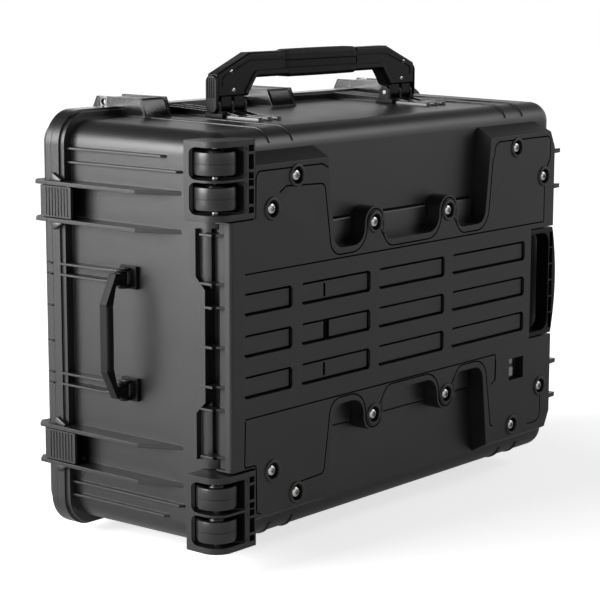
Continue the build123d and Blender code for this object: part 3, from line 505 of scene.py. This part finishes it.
# Wheels: half of the profile, from the seam in the tread's middle to the bore, and a washer at each side;
# radius and height
wheelLook = {
    "half": ((24.5, 0), (24.55, 0.35), (25, 0.7), (25, 5), (24.95, 11), (24.4, 13.2), (23.2, 14), (19.6, 14),
             (18.8, 13.5), (18.3, 11), (10.8, 10.6), (9.9, 13.4), (9, 14), (4.9, 14), (4.1, 13.2)),
    "steps": 96, "smooth": 30,
    "washer": ((4.1, 13.8), (8.8, 13.8), (8.6, 14.4), (5.8, 16.4), (5.2, 16.8), (4.1, 16.8)),
    "washerSteps": 40,
}


def addWheel(nodeName, w):  # the profile and its mirror image turned about the axle, and the same for washers
    low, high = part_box(nodeName)
    centre = (low + high) / 2
    half, washer = np.array(w["half"]), np.array(w["washer"])
    profile = np.vstack([half, (half * (1, -1))[:0:-1]])
    shape = turned(profile, w["steps"], centre, upward)
    wheel = addPiece(nodeName + "_tread", shape, "wheel", bodyOf[nodeName], w["smooth"])
    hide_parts(nodeName)
    pair = [turned(washer * (1, side), w["washerSteps"], centre, upward) for side in (-1, 1)]
    addPiece(nodeName + "_washers", joined(pair), "wheel", bodyOf[nodeName])


for nodeName in nodes:
    if slotOf[nodeName] == "wheel":
        addWheel(nodeName, wheelLook)
print("wheels made")

# Wheel housings: each window is widened by a rounded block that comes in along the corner's diagonal.
# Its outline is drawn in the distance across the diagonal and the height.
housingLook = {
    "axis": (-370.5, -145), "across": (-30.8, 37.2), "along": (-60, 2.5), "half": 19.2, "round": (8, 4, 4, 8),
    "heights": {"wheel_housing_upper": (465.75, 507.25), "wheel_housing_lower": (60.75, 102.25)},
}


def windowCuts(h, heights):
    low, high = h["across"]
    outline = rounded(box(low, -h["half"], high, h["half"]), h["round"])
    diagonal, across = np.array((1.0, 1.0)) / math.sqrt(2), np.array((1.0, -1.0)) / math.sqrt(2)

    def alongDiagonal(flat, depth):
        return atHeight(np.array(h["axis"]) + depth * diagonal + flat[:, :1] * across, flat[:, 1])

    return joined([drawn(outline + (0.0, z), alongDiagonal, h["along"]) for z in heights])


for nodeName, heights in housingLook["heights"].items():
    housing = mergedCopy(nodeName)
    combine(housing, windowCuts(housingLook, heights), slotOf[nodeName])
    finish(housing, nodeName)
print("wheel housings cut")

# Cover: the node with wider bay corners, border lines, channels round its recesses and drain slots. Lengths
# run from the case's left end, heights from its middle, depths from its face; the end's channel and fins are
# in X and Y.
firstBay = ((185, 118), (187, 92.5), (260.5, 92.5), (260.5, 144), (293.5, 144), (293.5, 128))
lastBay = ((450, 116), (467, 92.5), (530.5, 92.5))
coverLook = {
    "line": ((-1.1, 1), (1.1, 1), (0.9, -0.2), (0.8, -2.4), (-0.8, -2.4), (-0.9, -0.2)),
    "upper": (((44.3, 154), (45.3, 210.3), (170, 210.3), (181, 205)),
              ((88.5, 181.5), (100.7, 188.5), (174.5, 185.5), *firstBay),
              ((289, 116), (306, 92.5), (421.5, 92.5), (421.5, 144), (454.5, 144), (454.5, 128)),
              (*lastBay, (541.5, 190)), ((544.5, 190), (547, 211), (686, 211), (686, 178), (678, 167)),
              ((672.5, 142), (672.5, 88), (25, 88))),
    "upperRound": ((0, 9, 6, 0), (0, 7, 8, 40, 22, 30, 16.4, 16.4, 0), (0, 20, 30, 16.4, 16.4, 0),
                   (0, 20, 28, 0), (0, 13, 9, 14, 0), (0, 0.5, 0)),
    "lower": (((25, 92), (23.5, 150), (44.3, 150), (45.5, 212), (53, 213)),
              ((129, 187.5), (174.5, 186), *firstBay), (*lastBay, (546, 190), (552, 194)),
              ((673, 168), (673, 206), (640, 206))),
    "lowerRound": ((0, 3, 4, 5, 0), (0, 8, 40, 22, 30, 16.4, 16.4, 0), (0, 20, 28, 7, 0), (0, 14, 0)),
    "mirrored": 2,  # the upper line that is cut below the middle too
    "hook": ((25, -90), (557, -90), (556, -127), (546, -132)), "hookRound": (0, 5, 5, 0),
    "bar": ((-1.7, 1), (1.7, 1), (1.5, -2.4), (-1.5, -2.4)), "barLine": ((556.6, -98), (556, -127)),
    "slots": ((50.5, 177.8, 3.8, 17), (0, 181.6, 11.4, 23), (-51, 177.8, 3.8, 17)),
    "slotDepths": (1, -5.8), "rows": (51, 0, -51), "recessHeight": 28, "recessRound": 4.5,
    "columns": ((22.8, 112.8), (129.6, 268.5), (285.5, 431), (448, 625)),
    "channel": ((-1.7, -2), (1.7, -2), (1.6, -5.8), (-1.6, -5.8)), "channelIn": 1.7,
    "fillers": (((178, 216.9), (182.5, 216.9), (192.5, 120), (192.5, 101), (214, 101), (214, 96), (178, 96)),
                ((260, 125), (256, 125), (256, 101), (232, 101), (232, 96), (260, 96)),
                ((421, 126), (417, 126), (417, 101), (392, 101), (392, 96), (421, 96)),
                ((531, 124), (526, 124), (523.4, 101), (503, 101), (503, 96), (531, 96))),
    "fillerRound": ((0, 0, 30, 18, 0, 0, 0), (0, 0, 22, 0, 0, 0), (0, 0, 23, 0, 0, 0), (0, 0, 19, 0, 0, 0)),
    "fillerDepths": (0, 25.5),
    "edgeRound": 5, "edgeSteps": 9, "edgeOver": 1.5, "edgeHalf": 156,
    "endChannel": box(-368.5, -156.5, -360.5, -141.5), "endRound": (0, 4, 0, 0), "endHalf": 150,
    "fin": ((-360.2, -142), (-367.6, -142), (-366.8, -145), (-360.2, -155.8)), "finThick": 2.6,
    "fins": (0, 48.5, -48.5, 77, -77, 136, -136),
}

# Screws: a low dome with a six-lobed socket, in a well with a raised collar; radius and height
screwLook = {
    "wells": ((75, 163), (121, 200), (277, 127), (438, 127), (600, 200), (670.5, 154)),
    "well": ((10.2, 1), (10.2, -6.4)), "wellSteps": 40, "steps": 48, "lobes": 6,
    "head": ((7.4, 0), (7.4, 3.6), (7, 4.8), (6, 5.8), (4.9, 6.4)), "socket": (3.3, 0.8),
    "socketTop": 6.6, "socketFloor": 3.6, "narrowed": 0.85,
    "collar": ((10.2, -0.8), (14.6, -0.8), (14.5, 0.6), (13.8, 1.7), (12.2, 2.3), (10.9, 2), (10.2, 1.2)),
}
wells = np.array(screwLook["wells"])
wellPlaces = onCover(np.vstack([wells, wells * (1, -1)]))


# Fillers of the bays' corners: an outline on the cover's face, drawn back to the floor behind it
def bayFillers(c):
    parts = []
    for corners, radii in zip(c["fillers"], c["fillerRound"]):
        for side in (1, -1):
            flat = onCover(rounded(corners, radii, 8) * (1, side))
            parts.append(tubeOf(np.array([flat + (0, depth * mm, 0) for depth in c["fillerDepths"]])))
    return parts


# Cuts in the cover's face: border lines and a channel along three sides of each recess, each a section
# swept along a rounded path, and upright slots in the left column
def coverCuts(c):
    paths = [roundedPath(corners, radii, 8) for corners, radii in zip(c["upper"], c["upperRound"])]
    lower = [roundedPath(corners, radii, 8) for corners, radii in zip(c["lower"], c["lowerRound"])]
    paths += [path * (1, -1) for path in (paths[c["mirrored"]], *lower)]
    paths.append(roundedPath(c["hook"], c["hookRound"]))
    cuts = [swept(onCover(path), offCover, c["line"]) for path in paths]
    cuts.append(swept(onCover(c["barLine"]), offCover, c["bar"]))
    inset = c["channelIn"]
    tall = c["recessHeight"] / 2 - inset
    for low, high in c["columns"]:
        left, right = low + 2 * inset, high - inset
        for row in c["rows"]:
            path = roundedPath(box(left, row + tall, right, row - tall), c["recessRound"] - inset, 5)
            cuts.append(swept(onCover(path), offCover, c["channel"]))
    above, deep = c["slotDepths"]
    for height, middle, width, tall in c["slots"]:
        ends, half = [(middle, height - tall / 2), (middle, height + tall / 2)], width / 2
        cuts.append(swept(onCover(ends), offCover, box(-half, above, half, deep)))
    return joined(cuts)


# Shaping cuts of the cover: a quarter circle along its left edge, a channel in the left end and the wells
def coverShaping(c, s):
    left, face, middle = shell["left"] / mm, shell["coverFace"] / mm, shell["middle"] / mm
    r, over = c["edgeRound"], c["edgeOver"]
    angle = np.linspace(np.pi, 1.5 * np.pi, c["edgeSteps"])
    arc = np.column_stack([left + r + r * np.cos(angle), face + r + r * np.sin(angle)])
    edge = np.vstack([arc, [(left + r, face - over), (left - over, face - over), (left - over, face + r)]])
    end = rounded(c["endChannel"], c["endRound"])
    parts = [drawn(edge, atHeight, (middle - c["edgeHalf"], middle + c["edgeHalf"])),
             drawn(end, atHeight, (middle - c["endHalf"], middle + c["endHalf"]))]
    parts += [turned(s["well"], s["wellSteps"], place, offCover, False) for place in wellPlaces]
    return joined(parts)


# Fins in the end's channel: a plan drawn up through the fin's thickness
def channelFins(c):
    half, middle = c["finThick"] / 2, shell["middle"] / mm
    return joined([drawn(c["fin"], atHeight, (middle + z - half, middle + z + half)) for z in c["fins"]])


# A screw's head: rings of the dome's radii and heights, then the socket's, whose radius is its mean plus a
# cosine of six times the angle
def screwHead(s, place, size=1.0):
    head = np.array(s["head"])
    angle = np.linspace(0.0, 2 * np.pi, s["steps"], endpoint=False)
    mean, swing = s["socket"]
    lobe = mean + swing * np.cos(s["lobes"] * angle)
    radii = np.vstack([np.repeat(head[:, :1], len(angle), 1), lobe, s["narrowed"] * lobe])
    heights = np.concatenate([head[:, 1], [s["socketTop"], s["socketFloor"]]])
    rise = heights[:, None, None] * np.array(offCover, float)
    return tubeOf(place + (radii[..., None] * spokes(angle, offCover)[None] + rise) * mm * size)


# Trolley grip: its opening is widened to round corners, drawn in X and height and cut right through
gripLook = {"opening": box(272, 212.5, 320.5, 355.5), "round": (0, 17, 17, 0), "depths": (-169, -143)}
grip = mergedCopy("trolley_grip")
combine(grip, drawn(rounded(gripLook["opening"], gripLook["round"], 9), atDepth, gripLook["depths"]),
        "handle")
finish(grip, "trolley_grip")

# Plates of the sprung catch in the cover's window
plateLook = {
    "plates": (box(592.2, -129, 606, -116), box(592.2, -111.5, 609, -104.5)),
    "half": 7, "faces": (5, 8), "rings": ((0, 0.4), (0, -0.6), (0.5, -1.1)), "round": 1.2, "smooth": 25,
}


def catchPlates(p):  # rings of one rounded outline, each drawn in towards its middle and set at its depth
    parts = []
    for corners, depth in zip(p["plates"], p["faces"]):
        flat = rounded(corners, p["round"], 4)
        middle = flat.mean(0)
        rings = [onCover(middle + (flat - middle) * (1 - inset / p["half"])) + (0, (depth + rise) * mm, 0)
                 for inset, rise in p["rings"]]
        parts.append(tubeOf(np.array(rings)))
    return joined(parts)


# Skids that carry the plain end's latch ribs on to the floor's edge; they get thinner towards the outside
skidLook = {
    "plan": ((366, -28), (391.2, -28), (391.2, -134), (387, -141), (366, -142)),
    "round": (0, 0, 4, 6, 0), "heights": (468, 416, 152, 100), "half": 3.4,
    "taper": ((383, 1), (391.2, 0.5)),
}


def plainEndSkids(k):  # a plan drawn up through a thickness that depends on how far out each point is
    plan = rounded(k["plan"], k["round"], 7)
    (start, whole), (end, thin) = k["taper"]
    half = k["half"] * np.interp(plan[:, 0], (start, end), (whole, thin))
    return joined([drawn(plan, atHeight, (z - half, z + half)) for z in k["heights"]])


# Aprons: a leaning wall between the two lugs of each front latch, as a section in depth and height
apronLook = {
    "section": ((64, 541.6), (75.2, 565.2), (78, 565.2), (78, 562.5), (68, 541.6)),
    "round": (0, 1.5, 0.9, 0, 0), "half": 21.3, "latches": (-249.5, 0, 249.5),
}


def lugAprons(a):  # the section drawn along the case between the lugs
    section = rounded(a["section"], a["round"], 5)
    return joined([drawn(section, atLength, (x - a["half"], x + a["half"])) for x in a["latches"]])


# Runners: broad low ribs from the front handle's feet towards the floor
runnerLook = {
    "arm": 179, "offsets": (-18, 0, 18), "start": -9, "toe": -67, "half": 4.3, "toeRound": 0.9,
    "rings": ((0, -1.2), (0, 3.3), (0.25, 3.9), (0.8, 4.3), (1.5, 4.4)),
}


def footRunners(r):  # rings of the plan, drawn in and lifted from the drafted wall, so the edges are round
    parts = []
    for centre in [side * r["arm"] + offset for side in (-1, 1) for offset in r["offsets"]]:
        rings = []
        for inset, rise in r["rings"]:
            half, toe = r["half"] - inset, r["toe"] + inset
            corners = ((centre - half, r["start"]), (centre - half, toe), (centre + half, toe),
                       (centre + half, r["start"]))
            flat = rounded(corners, (0.0, half * r["toeRound"], half * r["toeRound"], 0.0))
            wall = shell["top"] / mm - (shell["parting"] / mm - flat[:, 1]) * shell["draft"]
            rings.append(atHeight(flat, wall + rise))
        parts.append(tubeOf(np.array(rings) * mm))
    return joined(parts)


# Slabs in the cover's bays, and thin near-black strips beside them as painted shadow: distances from the
# cover's middle, and depths
slabLook = {"bays": ((196, 254), (300, 415), (461, 520)), "high": 134.5, "low": 99,
            "faces": (-141.5, -146.5), "round": 1.9}
paintedShadowLook = {"bays": slabLook["bays"], "high": 137.1, "low": 133.5, "faces": (-141.8, -143.1), "round": 0.4}


def baySlabs(s):  # a section with a round outer edge, drawn along each bay and its mirror image below
    back, front = s["faces"]
    corners = ((s["high"], back), (s["high"], front), (s["low"], front), (s["low"], back))
    section = rounded(corners, (0.0, s["round"], 0.0, 0.0))
    left, middle = shell["left"] / mm, shell["middle"] / mm
    return joined([drawn(np.column_stack([section[:, 1], middle + side * section[:, 0]]), atLength,
                         (start + left, end + left)) for start, end in s["bays"] for side in (-1, 1)])


addPiece("catch_plates", catchPlates(plateLook), "tube", "base", plateLook["smooth"])
addPiece("plain_end_skids", plainEndSkids(skidLook))
addPiece("lug_aprons", lugAprons(apronLook))
addPiece("foot_runners", footRunners(runnerLook))
addPiece("bay_slabs", baySlabs(slabLook))
# thin near-black strips beside each bay slab: painted shadow
addPiece("slab_painted_shadows", baySlabs(paintedShadowLook), "gap")
print("grip, catch plates, skids and slabs made")

cover = mergedCopy("bottom_cover")
for filler in bayFillers(coverLook):
    combine(cover, filler, "cover", "UNION")
combine(cover, coverShaping(coverLook, screwLook), "cover")
# the faces of these cuts take the near-black plastic: painted shadow in the grooves
combine(cover, coverCuts(coverLook), "gap")
finish(cover, "bottom_cover")
addPiece("channel_fins", channelFins(coverLook), "cover", "base")
print("cover shaped")

screwFloor = -screwLook["well"][1][1] * mm
heads = [screwHead(screwLook, place + (0, screwFloor, 0)) for place in wellPlaces]
addPiece("cover_screws", joined(heads), "screw", "base")
collars = [turned(screwLook["collar"], screwLook["steps"], place, offCover) for place in wellPlaces]
addPiece("screw_collars", joined(collars), "cover", "base")
print("screws made")

# Front handle: its frame measured from the upper wall, rails along it, cheeks on the arms, screws, a sleeve
handleFrame = {"half": 209, "low": 24.5, "shoulder": 55, "shoulderIn": 63, "top": 80.5, "bar": 33, "arm": 60,
               "slant": 16, "faces": (-2.5, 17.5)}
railLook = {
    "upper": ((-1.4, -0.6), (1.4, -0.6), (1.4, 0.4), (0.7, 1.1), (-0.7, 1.1), (-1.4, 0.4)), "upperIn": 9.5,
    "lower": ((-3.6, -0.6), (3.6, -0.6), (3.6, 0.6), (2.6, 1.6), (-2.6, 1.6), (-3.6, 0.6)), "lowerIn": 6.5,
    "upperFrom": 14, "lowerFrom": 4, "round": 7,
}


def handleRails(f, r):  # on both faces, a line along the frame's outer edge and a wider one along its inner
    half, shoulder, shoulderIn, top = f["half"], f["shoulder"], f["shoulderIn"], f["top"]
    u, v = r["upperIn"], r["lowerIn"]
    bar, inner = top - f["bar"], half - f["arm"]
    start, foot = f["low"] + r["upperFrom"], f["low"] + r["lowerFrom"]
    over = bothSides([(-half + u, start), (-half + u, shoulder - u / 2),
                      (-half + shoulderIn + u / 3, top - u)])
    under = bothSides([(-inner - v, foot), (-inner + f["slant"] - v / 3, bar + v)])
    parts = []
    for y, way in zip(f["faces"], (-1, 1)):
        for corners, section in ((over, r["upper"]), (under, r["lower"])):
            flat = roundedPath(corners, r["round"], 5) * mm + (0, shell["top"])
            parts.append(swept(atDepth(flat, y * mm), (0, way, 0), section))
    return joined(parts)


# The sleeve's section in depth and height: the upper points from the bar's top, the lower from its underside
sleeveLook = {
    "upper": ((-3.5, 0), (-0.6, -5.5), (-0.6, -8), (0, -9), (0, -12), (-1.2, -13.5)),
    "lower": ((-1.2, 12), (0.6, 10.5), (0.6, 4), (-3, 0)),
    "half": 76.5, "rise": 1.6, "ramp": 7, "crown": 0.35, "steps": 60, "smooth": 25,
}


# Each row of the surface is the bar's own section moved out by the sleeve's rise, which ramps up at both
# ends and swells a little towards the middle.
def handleSleeve(f, s):
    near, far = f["faces"]
    top, bottom = f["top"], f["top"] - f["bar"]
    middle, half = (near + far) / 2, (far - near) / 2
    side = [(half + y, top + z) for y, z in s["upper"]] + [(half + y, bottom + z) for y, z in s["lower"]]
    section = np.array(bothSides(side))
    away = section - np.array((0.0, (top + bottom) / 2))
    away = away / np.abs(away).max(0)
    x = np.linspace(-s["half"], s["half"], s["steps"])
    ramped = np.clip((s["half"] - np.abs(x)) / s["ramp"], 0.0, 1.0)
    rise = s["rise"] * ramped + s["crown"] * (1.0 - (x / s["half"]) ** 2)
    yz = section[None] + away[None] * rise[:, None, None]
    points = np.stack([np.broadcast_to(x[:, None], yz.shape[:2]), yz[..., 0] + middle,
                       yz[..., 1] + shell["top"] / mm], -1)
    return tubeOf(points * mm)


cheekLook = {
    "rings": ((0, -0.5), (0, 1.2), (0.5, 2.2), (1.4, 2.8), (2.6, 3)), "ends": (4, 54),
    "middle": 7.5, "half": 10.2, "round": 9.6, "smooth": 20,
    "ridge": ((-0.8, -0.4), (0.8, -0.4), (0.6, 0.5), (0, 0.9), (-0.6, 0.5)), "ridgeEnds": (24, 50),
    "ridges": (-5.4, -1.8, 1.8, 5.4),
}


# Cheeks: rings of one rounded outline, each drawn in by its inset and raised by its height, with ridges
def handleCheeks(f, c):
    low, high = c["ends"]
    middle = np.array((c["middle"], (low + high) / 2))
    half = np.array((c["half"], (high - low) / 2))
    parts = []
    for side in (-1, 1):
        rings = [atLength(roundedBox(middle, half - inset, c["round"] - inset, 7) + (0.0, shell["top"] / mm),
                          side * (f["half"] + height)) for inset, height in c["rings"]]
        parts.append(tubeOf(np.array(rings) * mm))
        face = side * (f["half"] + c["rings"][-1][1])
        for y in c["ridges"]:
            ends = [(face * mm, (c["middle"] + y) * mm, shell["top"] + z * mm) for z in c["ridgeEnds"]]
            parts.append(swept(ends, (side, 0, 0), c["ridge"]))
    return joined(parts)


handleScrewLook = {"places": ((179, 33), (183, 57)), "sink": 2.2, "size": 0.45}


def handleScrews(f, h, s):  # small screws in both arms, sunk below the near face
    near = (f["faces"][0] + h["sink"]) * mm
    places = [np.array((side * x * mm, near, shell["top"] + z * mm))
              for x, z in h["places"] for side in (-1, 1)]
    return joined([screwHead(s, place, h["size"]) for place in places])


addPiece("handle_rails", handleRails(handleFrame, railLook), "handle", "front_handle")
addPiece("handle_cheeks", handleCheeks(handleFrame, cheekLook), "handle", "front_handle",
         cheekLook["smooth"])
addPiece("handle_screws", handleScrews(handleFrame, handleScrewLook, screwLook),
         "screw", "front_handle")
sleeve = addPiece("handle_sleeve", handleSleeve(handleFrame, sleeveLook), "grip", "front_handle",
                  sleeveLook["smooth"])
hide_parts("front_handle_grip")
print("handle dressed")

# Side handle: a round-edged sleeve on its bar, drawn in at both ends, with a slight swell
sideLook = {"place": (-409.1, 1.5), "reach": 40.5, "half": (5.7, 7.4), "round": 2.4, "drawnIn": 0.1,
            "swell": 0.7,
            "ends": 3, "steps": 24}


# Each row is the section times a size: it rises with the square root of the way in from the end, and swells
# towards the middle by a parabola.
def sideSleeve(h):
    section = roundedBox(0.0, h["half"], h["round"], 5)
    z = np.linspace(-h["reach"], h["reach"], h["steps"])
    eased = np.clip((h["reach"] - np.abs(z)) / h["ends"], 0.0, 1.0)
    swell = h["swell"] / h["half"][1] * h["drawnIn"] * (1 - (z / h["reach"]) ** 2)
    size = 1.0 - h["drawnIn"] + h["drawnIn"] * np.sqrt(eased) + swell
    flat = section[None] * size[:, None, None] + h["place"]
    height = np.broadcast_to((z + shell["middle"] / mm)[:, None], flat.shape[:2])
    return tubeOf(np.concatenate([flat, height[..., None]], -1) * mm)


addPiece("side_handle_sleeve", sideSleeve(sideLook), "grip", "side_handle")
print("side handle dressed")

# Low beads on the long sides, from the lugs' toes round the floor's edge
beadLook = {"places": (-267.5, -223.5, 241.5, 284.5), "toe": 62, "turn": math.radians(68), "steps": 14,
            "section": ((-1.7, -0.8), (1.7, -0.8), (1.6, 0.9), (0.9, 1.7), (-0.9, 1.7), (-1.6, 0.9))}


# The section swept along a straight run that follows the drafted wall, then a quarter circle
def beads(b, side):
    radius = shell["floorRadius"]
    centreY = shell["floorFace"] + radius
    toe = b["toe"] * mm
    wall, start = [shell["top"] - shell["middle"] - (shell["parting"] - y) * shell["draft"]
                   for y in (centreY, toe)]
    angle = np.linspace(0.0, b["turn"], b["steps"])
    arc = np.stack([centreY - radius * np.sin(angle), wall - radius * (1 - np.cos(angle))], 1)
    line = np.vstack([[(toe, start)], arc])
    facing = np.vstack([[(0.0, 1.0)], np.stack([-np.sin(angle), np.cos(angle)], 1)])
    facing = atLength(facing * (1, side), 0.0)
    line = line * (1, side) + (0.0, shell["middle"])
    return joined([swept(atLength(line, x * mm), facing, b["section"]) for x in b["places"]])


addPiece("upper_beads", beads(beadLook, 1))
addPiece("lower_beads", beads(beadLook, -1))
print("beads made")

# Small stiffeners at the rims: low nubs on the lid's rim, a rounded triangle outside each end latch's ribs
nubLook = {"heights": (261, 307, 348, 362, 220, 206), "depths": (126.2, 135),
           "section": ((-1.3, -0.8), (1.3, -0.8), (1.1, 1.6), (0.4, 2.4), (-0.4, 2.4), (-1.1, 1.6))}
gussetLook = {
    "latches": (442, 126), "ribs": 26, "outline": ((97, -1), (124.5, -1), (124.5, 4), (119, 11)),
    "round": 2.2, "rings": ((0, -1), (0, 3.6), (0.5, 4.4), (1.3, 4.8)),
}


def lidNubs(n):  # a section swept along a short line in depth at each height
    parts = []
    for side in (-1, 1):
        for z in n["heights"]:
            ends = [(side * shell["rim"], y * mm, z * mm) for y in n["depths"]]
            parts.append(swept(ends, (side, 0, 0), n["section"]))
    return joined(parts)


# Gussets: the outline's rings go up and draw in towards its middle, so that its upper edge is round
def gussets(g):
    outline = rounded(g["outline"], g["round"], 5)
    middle = outline.mean(0)
    arms = outline - middle
    reach = np.linalg.norm(arms, axis=1, keepdims=True)
    rings = [(middle + arms * (1 - inset / reach), height) for inset, height in g["rings"]]
    parts = []
    for side in (-1, 1):
        for centre, way in [(centre, way) for centre in g["latches"] for way in (-1, 1)]:
            points = [atLength(np.column_stack([flat[:, 0], centre + way * (g["ribs"] + flat[:, 1])]),
                               side * (shell["rim"] / mm + height)) for flat, height in rings]
            parts.append(tubeOf(np.array(points) * mm))
    return joined(parts)


addPiece("lid_nubs", lidNubs(nubLook), body="lid")
addPiece("end_gussets", gussets(gussetLook))
print("stiffeners made")

# Foam: each pad is its CAD solid remeshed evenly and eased at the edges. Its faces across one axis are
# crowned by a product of parabolas over other axes.
foamLook = {
    "voxel": 0.0045, "ease": 0.6, "passes": 10, "facing": 0.9,
    "crown": {"foam_floor_pad": (1, 0.0012, (0, 2)), "foam_side_pads": (2, 0.0015, (1,)),
              "foam_dividers": (0, 0.0015, (1,)), "lid_foam": (1, 0.0015, (0, 2))},
}


def addFoam(nodeName, f):
    piece = mergedCopy(nodeName)
    modified(piece, "REMESH", mode="VOXEL", voxel_size=f["voxel"])
    modified(piece, "SMOOTH", factor=f["ease"], iterations=f["passes"])
    made = settled(piece)
    piece.name = nodeName + "_soft"
    axis, crown, over = f["crown"][nodeName]
    count = len(made.vertices)
    points, normals = np.empty(count * 3), np.empty(count * 3)
    made.vertices.foreach_get("co", points)
    made.vertices.foreach_get("normal", normals)
    points, facing = points.reshape(-1, 3), normals.reshape(-1, 3)[:, axis]
    low, high = points.min(0), points.max(0)
    across = 2 * (points - low) / (high - low) - 1
    swell = (1 - across ** 2)[:, list(over)].prod(1)
    points[:, axis] += np.sign(facing) * (np.abs(facing) > f["facing"]) * (crown * swell)
    made.vertices.foreach_set("co", points.ravel())
    made.update()
    made.shade_smooth()
    made.materials.clear()
    made.materials.append(materials["foam"])
    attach(piece, bodyOf[nodeName])
    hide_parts(nodeName)


for nodeName in nodes:
    if slotOf[nodeName] == "foam":
        addFoam(nodeName, foamLook)
print("foam made")

cameraLook = {
    "place": (-2.05665, -1.69975, 0.74032), "azimuth": math.radians(-49.843),
    "elevation": math.radians(9.835),
    "roll": math.radians(0.129), "lens": 116.88, "sensor": 36.0,
}


def addCamera(c):  # looks at the end with the wheels and at the cover: rolled, tilted, then turned about Z
    data = bpy.data.cameras.new("camera")
    data.lens = c["lens"]
    data.sensor_width = c["sensor"]
    data.sensor_fit = "HORIZONTAL"
    camera = linked("camera", data)
    bpy.context.scene.camera = camera
    seat = Matrix.Translation(c["place"])
    for angle, axis in ((c["azimuth"], "Z"), (math.pi / 2 - c["elevation"], "X"), (c["roll"], "Z")):
        seat = seat @ Matrix.Rotation(angle, 4, axis)
    camera.matrix_world = seat


addCamera(cameraLook)
print("camera set")

# Studio: a white floor that shows white to the camera and keeps a soft shadow, a white surround seen by the
# camera and in reflections, and much weaker light from it on the object
studio = {"half": 12.0, "tone": 0.8, "rough": 0.9, "near": 0.72, "far": 1.0, "from": 0.45, "to": 1.1,
          "mirrored": 0.2, "ceiling": (0.25, 0.55), "seen": 1.0, "dim": 0.12, "soft": 0.05}
white, black = colour((1, 1, 1)), colour((0, 0, 0))


def shownTo(tree, mirrored):  # 1 for rays from the camera or through glass, a share of that in reflections
    rays = tree.nodes.new("ShaderNodeLightPath")
    camera, glossy, through = [Signal(tree, rays.outputs[kind])
                               for kind in ("Is Camera Ray", "Is Glossy Ray", "Is Transmission Ray")]
    return camera.maths("MINIMUM", camera + glossy * mirrored + through, 1.0)


def addFloor(s):  # its paint glows by the distance from the middle, on top of the light that falls on it
    half = s["half"]
    mesh = bpy.data.meshes.new("floor")
    mesh.from_pydata([(-half, -half, 0), (half, -half, 0), (half, half, 0), (-half, half, 0)],
                     [], [(0, 1, 2, 3)])
    floor = linked("floor", mesh)
    material, shader, place = newMaterial("floorPaint")
    feed(shader, place, {"Base Color": colour((s["tone"],) * 3), "Roughness": s["rough"]})
    # the glow is weaker near the object: painted shade round it, which also shows in the object's reflections
    distance = place.node("ShaderNodeVectorMath", {"operation": "LENGTH"}, {0: place}, "Value")
    level = place.node("ShaderNodeMapRange", None,
                       {0: distance, 1: s["from"], 2: s["to"], 3: s["near"], 4: s["far"]})
    glow = place.node("ShaderNodeEmission", None, {"Color": level, "Strength": 1.0})
    dark = place.node("ShaderNodeEmission", None, {"Color": black, "Strength": 0.0})
    tree = material.node_tree
    added = place.node("ShaderNodeMixShader", None, {0: shownTo(tree, s["mirrored"]), 1: dark, 2: glow})
    total = place.node("ShaderNodeAddShader", None, {0: Signal(tree, shader.outputs[0]), 1: added})
    tree.links.new(total.socket, tree.nodes["Material Output"].inputs[0])
    mesh.materials.append(material)


def addSurround(s):  # bright up to a height of the direction and dim above it
    world = bpy.data.worlds.new("studio")
    bpy.context.scene.world = world
    world.use_nodes = True
    tree = world.node_tree
    tree.nodes.clear()
    out = tree.nodes.new("ShaderNodeOutputWorld")
    shown = shownTo(tree, 1.0)
    direction = shown.node("ShaderNodeTexCoord", None, None, "Generated")
    height = shown.node("ShaderNodeSeparateXYZ", None, {"Vector": direction}, "Z")
    low, high = s["ceiling"]
    ceiling = shown.node("ShaderNodeMapRange", {"interpolation_type": "SMOOTHSTEP"},
                         {0: height, 1: low, 2: high, 3: s["seen"], 4: s["dim"]})
    bright = shown.node("ShaderNodeBackground", None, {"Color": white, "Strength": ceiling})
    weak = shown.node("ShaderNodeBackground", None, {"Color": white, "Strength": s["soft"]})
    mixed = shown.node("ShaderNodeMixShader", None, {0: shown, 1: weak, 2: bright})
    tree.links.new(mixed.socket, out.inputs[0])


lamps = {
    "endLamp": {"place": (-2.75, 1.2, 1.18), "aim": (-0.37, 0.0, 0.3), "size": (2.3, 1.5), "power": 145.0},
    "coverLamp": {"place": (2.3, -2.0, 2.2), "aim": (0.0, -0.15, 0.4), "size": (1.6, 1.4), "power": 20.0},
}


def addLamp(name, m):  # a soft rectangle of light, turned to what it is aimed at
    data = bpy.data.lights.new(name, "AREA")
    data.energy = m["power"]
    data.shape = "RECTANGLE"
    data.size, data.size_y = m["size"]
    lamp = linked(name, data)
    lamp.location = m["place"]
    lamp.rotation_euler = (Vector(m["aim"]) - Vector(m["place"])).to_track_quat("-Z", "Y").to_euler()


addFloor(studio)
addSurround(studio)
for name, lamp in lamps.items():
    addLamp(name, lamp)
bpy.context.scene.view_settings.view_transform = "Standard"
print("scene ready")
